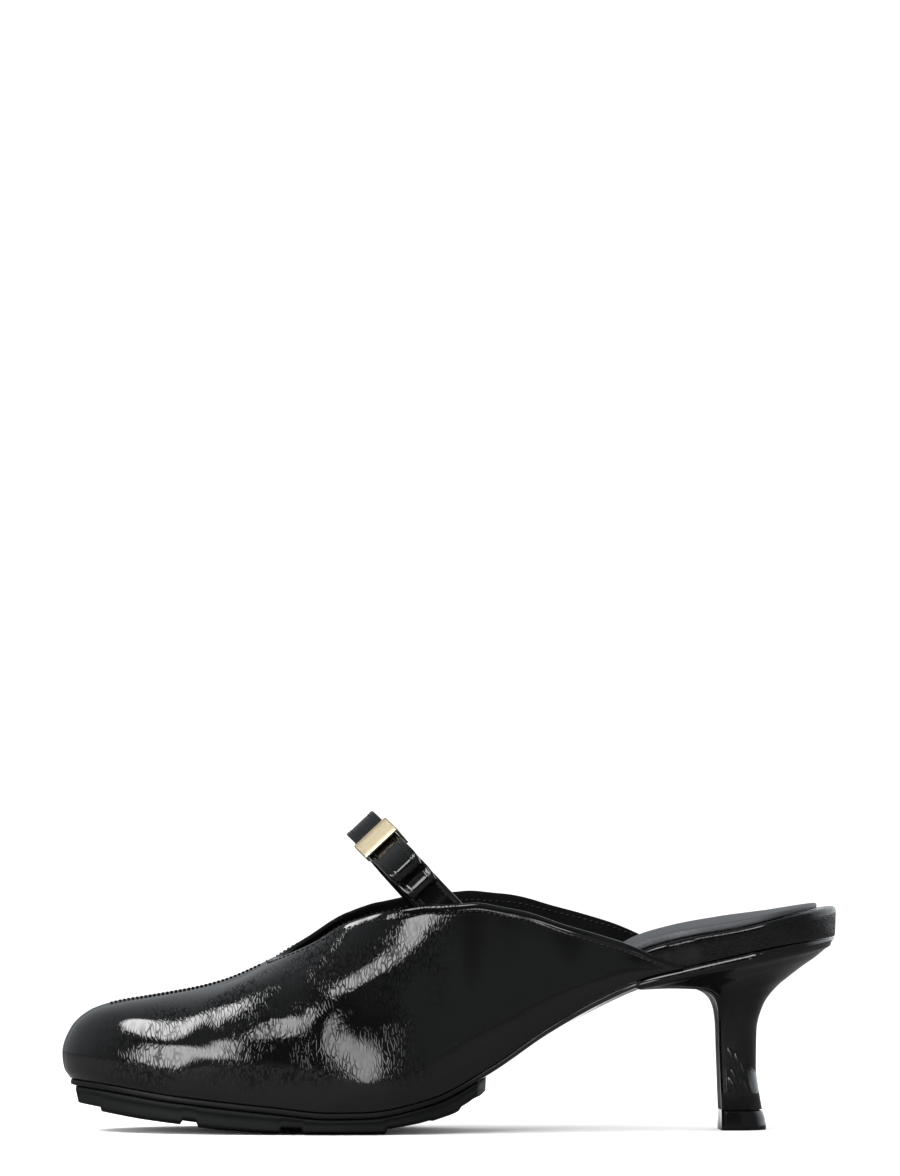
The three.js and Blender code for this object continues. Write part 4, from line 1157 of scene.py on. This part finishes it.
# Strap: two layers of the patent glued back to back and stitched along both edges. It arches
# over the instep, leaning toward the toe, and its ends go down between patent and lining.
strap_width = 11.2
strap_thickness = 1.6
strap_lean = math.radians(43)
strap_rise = 25.5
strap_sink = 0.3
strap_ease = 0.6
strap_insert = 7
strap_flare = 0.8
strap_twist = math.radians(3)
strap_at = 0.481 * shoe_length
band_stitch_inset = 1.9
band_press = 0.14
band_press_width = 0.4
band_rim = 0.16
band_rim_inset = 0.9
band_rim_width = 0.5
band_flat_count = 32
layer_groove = 0.22
layer_groove_width = 0.35
arch_half = instep_width / 2 - upper_wall - clearance - strap_thickness / 2 - strap_ease
arch_base = topline_point(np.array(strap_at), np.array(-1))[2] - strap_sink
arch_up = np.array([-math.sin(strap_lean), 0, math.cos(strap_lean)])
arch_across = np.array([math.cos(strap_lean), 0, math.sin(strap_lean)])


def arch(turn):
    """The arch in its own plane, half an ellipse, by the turn from its top toward the outer
    side: the place sideways and up, and the outward normal."""
    place = np.stack([-arch_half * np.sin(turn), strap_rise * np.cos(turn)], -1)
    outward = unit(np.stack([-strap_rise * np.sin(turn), arch_half * np.cos(turn)], -1))
    return place, outward


def leaning(place, wide):
    """A point of the arch's plane in the shoe, moved across the plane by wide."""
    foot_of_arch = np.array([strap_at, 0, arch_base])
    flat = place[..., :1] * np.array([0, 1, 0]) + place[..., 1:] * arch_up
    return foot_of_arch + flat + wide[..., None] * arch_across


def band_section(width, thickness, count):
    """A leather band's cross section as [across, out]: flat faces, and rounded edges with a fine
    groove where its two layers meet."""
    turn = np.linspace(0, np.pi, count)
    groove = layer_groove * np.exp(-(((turn - np.pi / 2) / layer_groove_width) ** 2))
    bulge = np.sin(turn) * (1 - groove)
    edge_out = np.cos(turn) * thickness / 2
    edge_across = width / 2 - thickness / 2 + bulge * thickness / 2
    share = np.linspace(-1, 1, band_flat_count + 2)[1:-1]
    flat = np.sign(share) * np.abs(share) ** 0.6 * (width / 2 - thickness / 2)
    across = np.concatenate([flat, edge_across, flat[::-1], -edge_across])
    face_out = np.full(band_flat_count, thickness / 2)
    out = np.concatenate([face_out, edge_out, -face_out, -edge_out])
    return across, out


def press_edges(across, out, width, thickness):
    """The band's face dips along the two stitch lines, stays flat between them and swells into a
    rounded rim outside them."""
    inside = width / 2 - np.abs(across)
    dip = -band_press * np.exp(-(((inside - band_stitch_inset) / band_press_width) ** 2))
    rim = band_rim * np.exp(-(((inside - band_rim_inset) / band_rim_width) ** 2))
    return out + np.sign(out) * (dip + rim) * (np.abs(out) > thickness * 0.3)


across, out = band_section(strap_width, strap_thickness, 11)
out = press_edges(across, out, strap_width, strap_thickness)
smooth_patent = patent_leather("smooth_patent_leather", 0.35, 1.4, (1, 1, 1))
quarter = np.pi / 2
end_rows, arch_rows = 8, 121
straight = np.linspace(1, 0, end_rows, endpoint=False)
sink = np.concatenate([straight, np.zeros(arch_rows), straight[::-1]]) * strap_insert
spread_out = sink / strap_insert * strap_flare
over = np.linspace(quarter, -quarter, arch_rows)
turn = np.concatenate([np.full(end_rows, quarter), over, np.full(end_rows, -quarter)])
place, outward = arch(turn)
twist = math.tan(strap_twist) * across[None, :, None] * np.sin(turn)[:, None, None]
place = place[:, None] + outward[:, None] * (out[None, :, None] + spread_out[:, None, None] + twist)
place[..., 1] -= sink[:, None]
strap_points = leaning(place, np.broadcast_to(across, place.shape[:2]))
strap = make_piece("instep_strap", strap_points, False, [smooth_patent])
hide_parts("strap")
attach(strap, "root")

# Bow: two flat loops of the patent, one on the other, each a band folded back on itself and
# stitched along both edges. The clasp pinches them to the strap.
bow_width = 11.2
bow_leather = 1
lower_loop_reach = 20
lower_loop_lift = 1.5
upper_loop_reach = 15
upper_loop_lift = 2.4
clasp_turn = math.radians(29)
corner_draw = 0.13
corner_share = 0.2
band_stitch = {"step": 1.5, "long": 1.05, "width": 0.38}
stitch_sink = 0.08
lower_lift_run = (0.3, 1)
upper_lift_run = (0.27, 0.8)
layer_step = bow_leather + clearance

turns = np.linspace(-quarter, quarter, 721)
arch_way = way_along(arch(turns)[0])
arch_way -= np.interp(clasp_turn, turns, arch_way)


def bow_point(reach, off, wide):
    """A point of the bow: reach along the arch from the clasp toward the outer side, off outward
    from the strap's middle, and wide across the strap."""
    place, outward = arch(np.interp(reach, arch_way, turns))
    return leaning(place + outward * off[..., None], wide)


def lower_bottom(reach):
    """Middle of the lower loop's bottom layer, which lies on the strap."""
    return strap_thickness / 2 + clearance + bow_leather / 2 + 0 * reach


def lower_top(reach):
    """Middle of the lower loop's top layer, which lifts toward the fold."""
    lift = lower_loop_lift * smooth(np.abs(reach) / lower_loop_reach, *lower_lift_run)
    return lower_bottom(reach) + layer_step + lift


def upper_bottom(reach):
    """Middle of the upper loop's bottom layer, which lies on the lower loop."""
    return lower_top(reach) + layer_step


def upper_top(reach):
    """Middle of the upper loop's top layer."""
    lift = upper_loop_lift * smooth(np.abs(reach) / upper_loop_reach, *upper_lift_run)
    return upper_bottom(reach) + layer_step + lift


def loop_path(reach_end, bottom, top):
    """A ring of [reach, off] between two layers, with a half round fold at both ends, and its
    unit tangents."""
    fold = (top(np.array(reach_end)) - bottom(np.array(reach_end))) / 2
    straight = reach_end - fold
    middle = (top(straight) + bottom(straight)) / 2
    radius = (top(straight) - bottom(straight)) / 2
    steps = np.linspace(-straight, straight, 70)
    angle = np.linspace(0, np.pi, 26)[1:-1]
    reach = np.concatenate(
        [steps, straight + fold * np.sin(angle), steps[::-1], -straight - fold * np.sin(angle)]
    )
    off = np.concatenate(
        [
            top(steps),
            middle + radius * np.cos(angle),
            bottom(steps[::-1]),
            middle - radius * np.cos(angle),
        ]
    )
    path = np.stack([reach, off], -1)
    return reach, off, unit(np.roll(path, -1, 0) - np.roll(path, 1, 0))


def end_width(reach, reach_end):
    """A loop draws in toward its fold, which rounds its corners: the share of the width left."""
    past = (np.abs(reach) / reach_end - (1 - corner_share)) / corner_share
    return 1 - corner_draw * np.clip(past, 0, 1.1) ** 2


def loop_points(reach_end, bottom, top):
    """The band's section carried round the ring, with the path's normals."""
    reach, off, tangent = loop_path(reach_end, bottom, top)
    across, out = band_section(bow_width, bow_leather, 9)
    out = press_edges(across, out, bow_width, bow_leather)
    place_reach = reach[:, None] - tangent[:, 1:] * out
    place_off = off[:, None] + tangent[:, :1] * out
    return bow_point(place_reach, place_off, across * end_width(place_reach, reach_end))


def loop_stitches(reach_end, bottom, top):
    """Lines on the outside of a loop, just inside both edges, with their normals."""
    reach, off, tangent = loop_path(reach_end, bottom, top)
    lines = []
    for wide in (-1, 1):
        across = wide * (bow_width / 2 - band_stitch_inset) * end_width(reach, reach_end)
        low, high = (
            bow_point(reach - tangent[:, 1] * out, off + tangent[:, 0] * out, across)
            for out in (bow_leather / 2 - stitch_sink, bow_leather / 2 + 0.5)
        )
        lines.append((low, unit(high - low)))
    return lines


bow_loops = []
for name, node, reach_end, bottom, top in [
    ("lower_bow", "bow_lower_loops", lower_loop_reach, lower_bottom, lower_top),
    ("upper_bow", "bow_upper_loops", upper_loop_reach, upper_bottom, upper_top),
]:
    loops = make_piece(name, loop_points(reach_end, bottom, top), True, [smooth_patent])
    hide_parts(node)
    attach(loops, "root")
    bow_loops.append(loops)
bow_stitches = make_stitches(
    "bow_stitches",
    loop_stitches(lower_loop_reach, lower_bottom, lower_top)
    + loop_stitches(upper_loop_reach, upper_bottom, upper_top),
    waxed_thread,
    **band_stitch,
)

strap_lines = []
for wide in (-1, 1):
    line_turn = np.linspace(quarter, -quarter, 200)
    line_place, line_out = arch(line_turn)
    across = np.full(line_turn.shape, wide * (strap_width / 2 - band_stitch_inset))
    low, high = (
        leaning(line_place + line_out * off, across)
        for off in (strap_thickness / 2 - stitch_sink, strap_thickness / 2 + 0.5)
    )
    strap_lines.append((low, unit(high - low)))
strap_stitches = make_stitches("strap_stitches", strap_lines, waxed_thread, **band_stitch)

# Clasp: die-cast zinc plated pale gold, a flat plate over the bow with a short flange in front
# and a long narrowing one behind. Its bare face is finely brushed and its edges are bevelled.
clasp_length = 9.5
clasp_flange = 5.5
clasp_front_depth = 2
clasp_wall = 0.75
clasp_bevel = 0.28
clasp_round_outside = 0.45
clasp_round_inside = 0.15
clasp_shoulder = 1
clasp_inner = strap_width / 2 + clearance
clasp_outer = clasp_inner + clasp_wall
clasp_under = float(upper_top(np.array(0.0))) + bow_leather / 2 + clearance
clasp_over = clasp_under + clasp_wall
clasp_low = -strap_thickness / 2
clasp_front = clasp_over - clasp_front_depth
# Rings along the clasp, each at a share of half its length, then moved inward (`back`) and drawn
# in from its faces (`drawn`) by shares of the bevel.
clasp_rings = {
    "at": [-1, -1, -1, -1, -0.5, 0, 0.5, 1, 1, 1, 1],
    "back": [0, 0.15, 0.5, 1, 0, 0, 0, -1, -0.5, -0.15, 0],
    "drawn": [1, 0.45, 0.12, 0, 0, 0, 0, 0, 0.12, 0.45, 1],
}


def plate_path(half, top, radius):
    """The plate seen from its end: up in front, over the bow and down behind, with a quarter turn
    of the given radius at each of its two corners."""
    corners = np.array([(-half, clasp_front), (-half, top), (half, top), (half, clasp_low)])
    t = np.linspace(0, np.pi / 2, 7)[:, None]
    path = [corners[:1]]
    for before, at, after in zip(corners[:-2], corners[1:-1], corners[2:]):
        come, leave = unit(before - at), unit(after - at)
        path.append(at + radius * (come * (1 - np.sin(t)) + leave * (1 - np.cos(t))))
    path.append(corners[-1:])
    return np.concatenate(path)


# The outside gets more points on its long stretches, and the inside one for each of them.
outside = plate_path(clasp_outer, clasp_over, clasp_round_outside)
way = way_along(outside)
at = np.unique(np.concatenate([way, np.linspace(0, way[-1], 40)]))
outside = at_way(outside, at)
inside_path = plate_path(clasp_inner, clasp_under, clasp_round_inside)
inside_path = at_way(inside_path, at / way[-1] * way_along(inside_path)[-1])
below_shoulder = clasp_over - clasp_shoulder - outside[:, 1]
narrow = smooth(below_shoulder, 0, clasp_over - clasp_low - 1.4) * (outside[:, 0] > 0)
half_long = mix(clasp_length / 2, clasp_flange / 2, narrow)
ring = np.concatenate([outside, inside_path[::-1]])
ring_half = np.concatenate([half_long, half_long[::-1]])
ring_middle = (ring + ring[::-1]) / 2
station, back, drawn = (np.array(clasp_rings[name])[:, None] for name in ("at", "back", "drawn"))
shrink = drawn * clasp_bevel / (clasp_wall / 2)
section = mix(ring[None], ring_middle[None], shrink[..., None])
long_at = station * ring_half[None] + back * clasp_bevel
clasp_place, clasp_out = arch(np.array(clasp_turn))
clasp_along = np.array([clasp_out[1], -clasp_out[0]])
flat = clasp_place + clasp_out * section[..., 1:] - clasp_along * long_at[..., None]
# Plated zinc, brushed along the strap: fine streaks spread each highlight across them.
gold, tree, surface = new_material(
    "brushed_pale_gold_plate", {"Base Color": linear("#b3a68b"), "Metallic": 1.0, "Roughness": 0.35}
)
place = add_node(tree, "TexCoord", {}, {}).outputs["Object"]
turned = add_node(tree, "Mapping", {}, {"Vector": place, "Rotation": (0, strap_lean, 0)})
long = add_node(tree, "VectorMath", times, {0: turned, 1: (300, 5000, 5000)})
brush = add_node(tree, "TexNoise", {}, {"Vector": long, "Scale": 1.0, "Detail": 3.0})
rough = add_node(tree, "MapRange", {}, {0: brush, 3: 0.3, 4: 0.48})
relief = add_node(tree, "Bump", {}, {"Height": brush, "Distance": 0.00001})
feed(tree, surface, {"Roughness": rough, "Normal": relief})
clasp = make_piece("gold_clasp", leaning(flat, section[..., 0]), False, [gold])
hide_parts("bow_clasp")
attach(clasp, "root")

# Flags: black cards keep the low light by the camera off strap, bow, clasp, rim and tip, the
# toe's light off the bow, and two more off the tip, all of which the photograph shows black or
# plain grey.
flags = {
    "back_box": [strap, bow_loops, footbed, top_lift, clasp],
    "toe_box": [bow_loops],
    "low_box": [top_lift],
    "top_box": [top_lift],
}
for name, shaded in flags.items():
    card = bpy.data.collections.new(name + "_flag")
    for piece in np.hstack(shaded).tolist():
        card.objects.link(piece)
    for entry in card.collection_objects:
        entry.light_linking.link_state = "EXCLUDE"
    bpy.data.objects[name].light_linking.receiver_collection = card
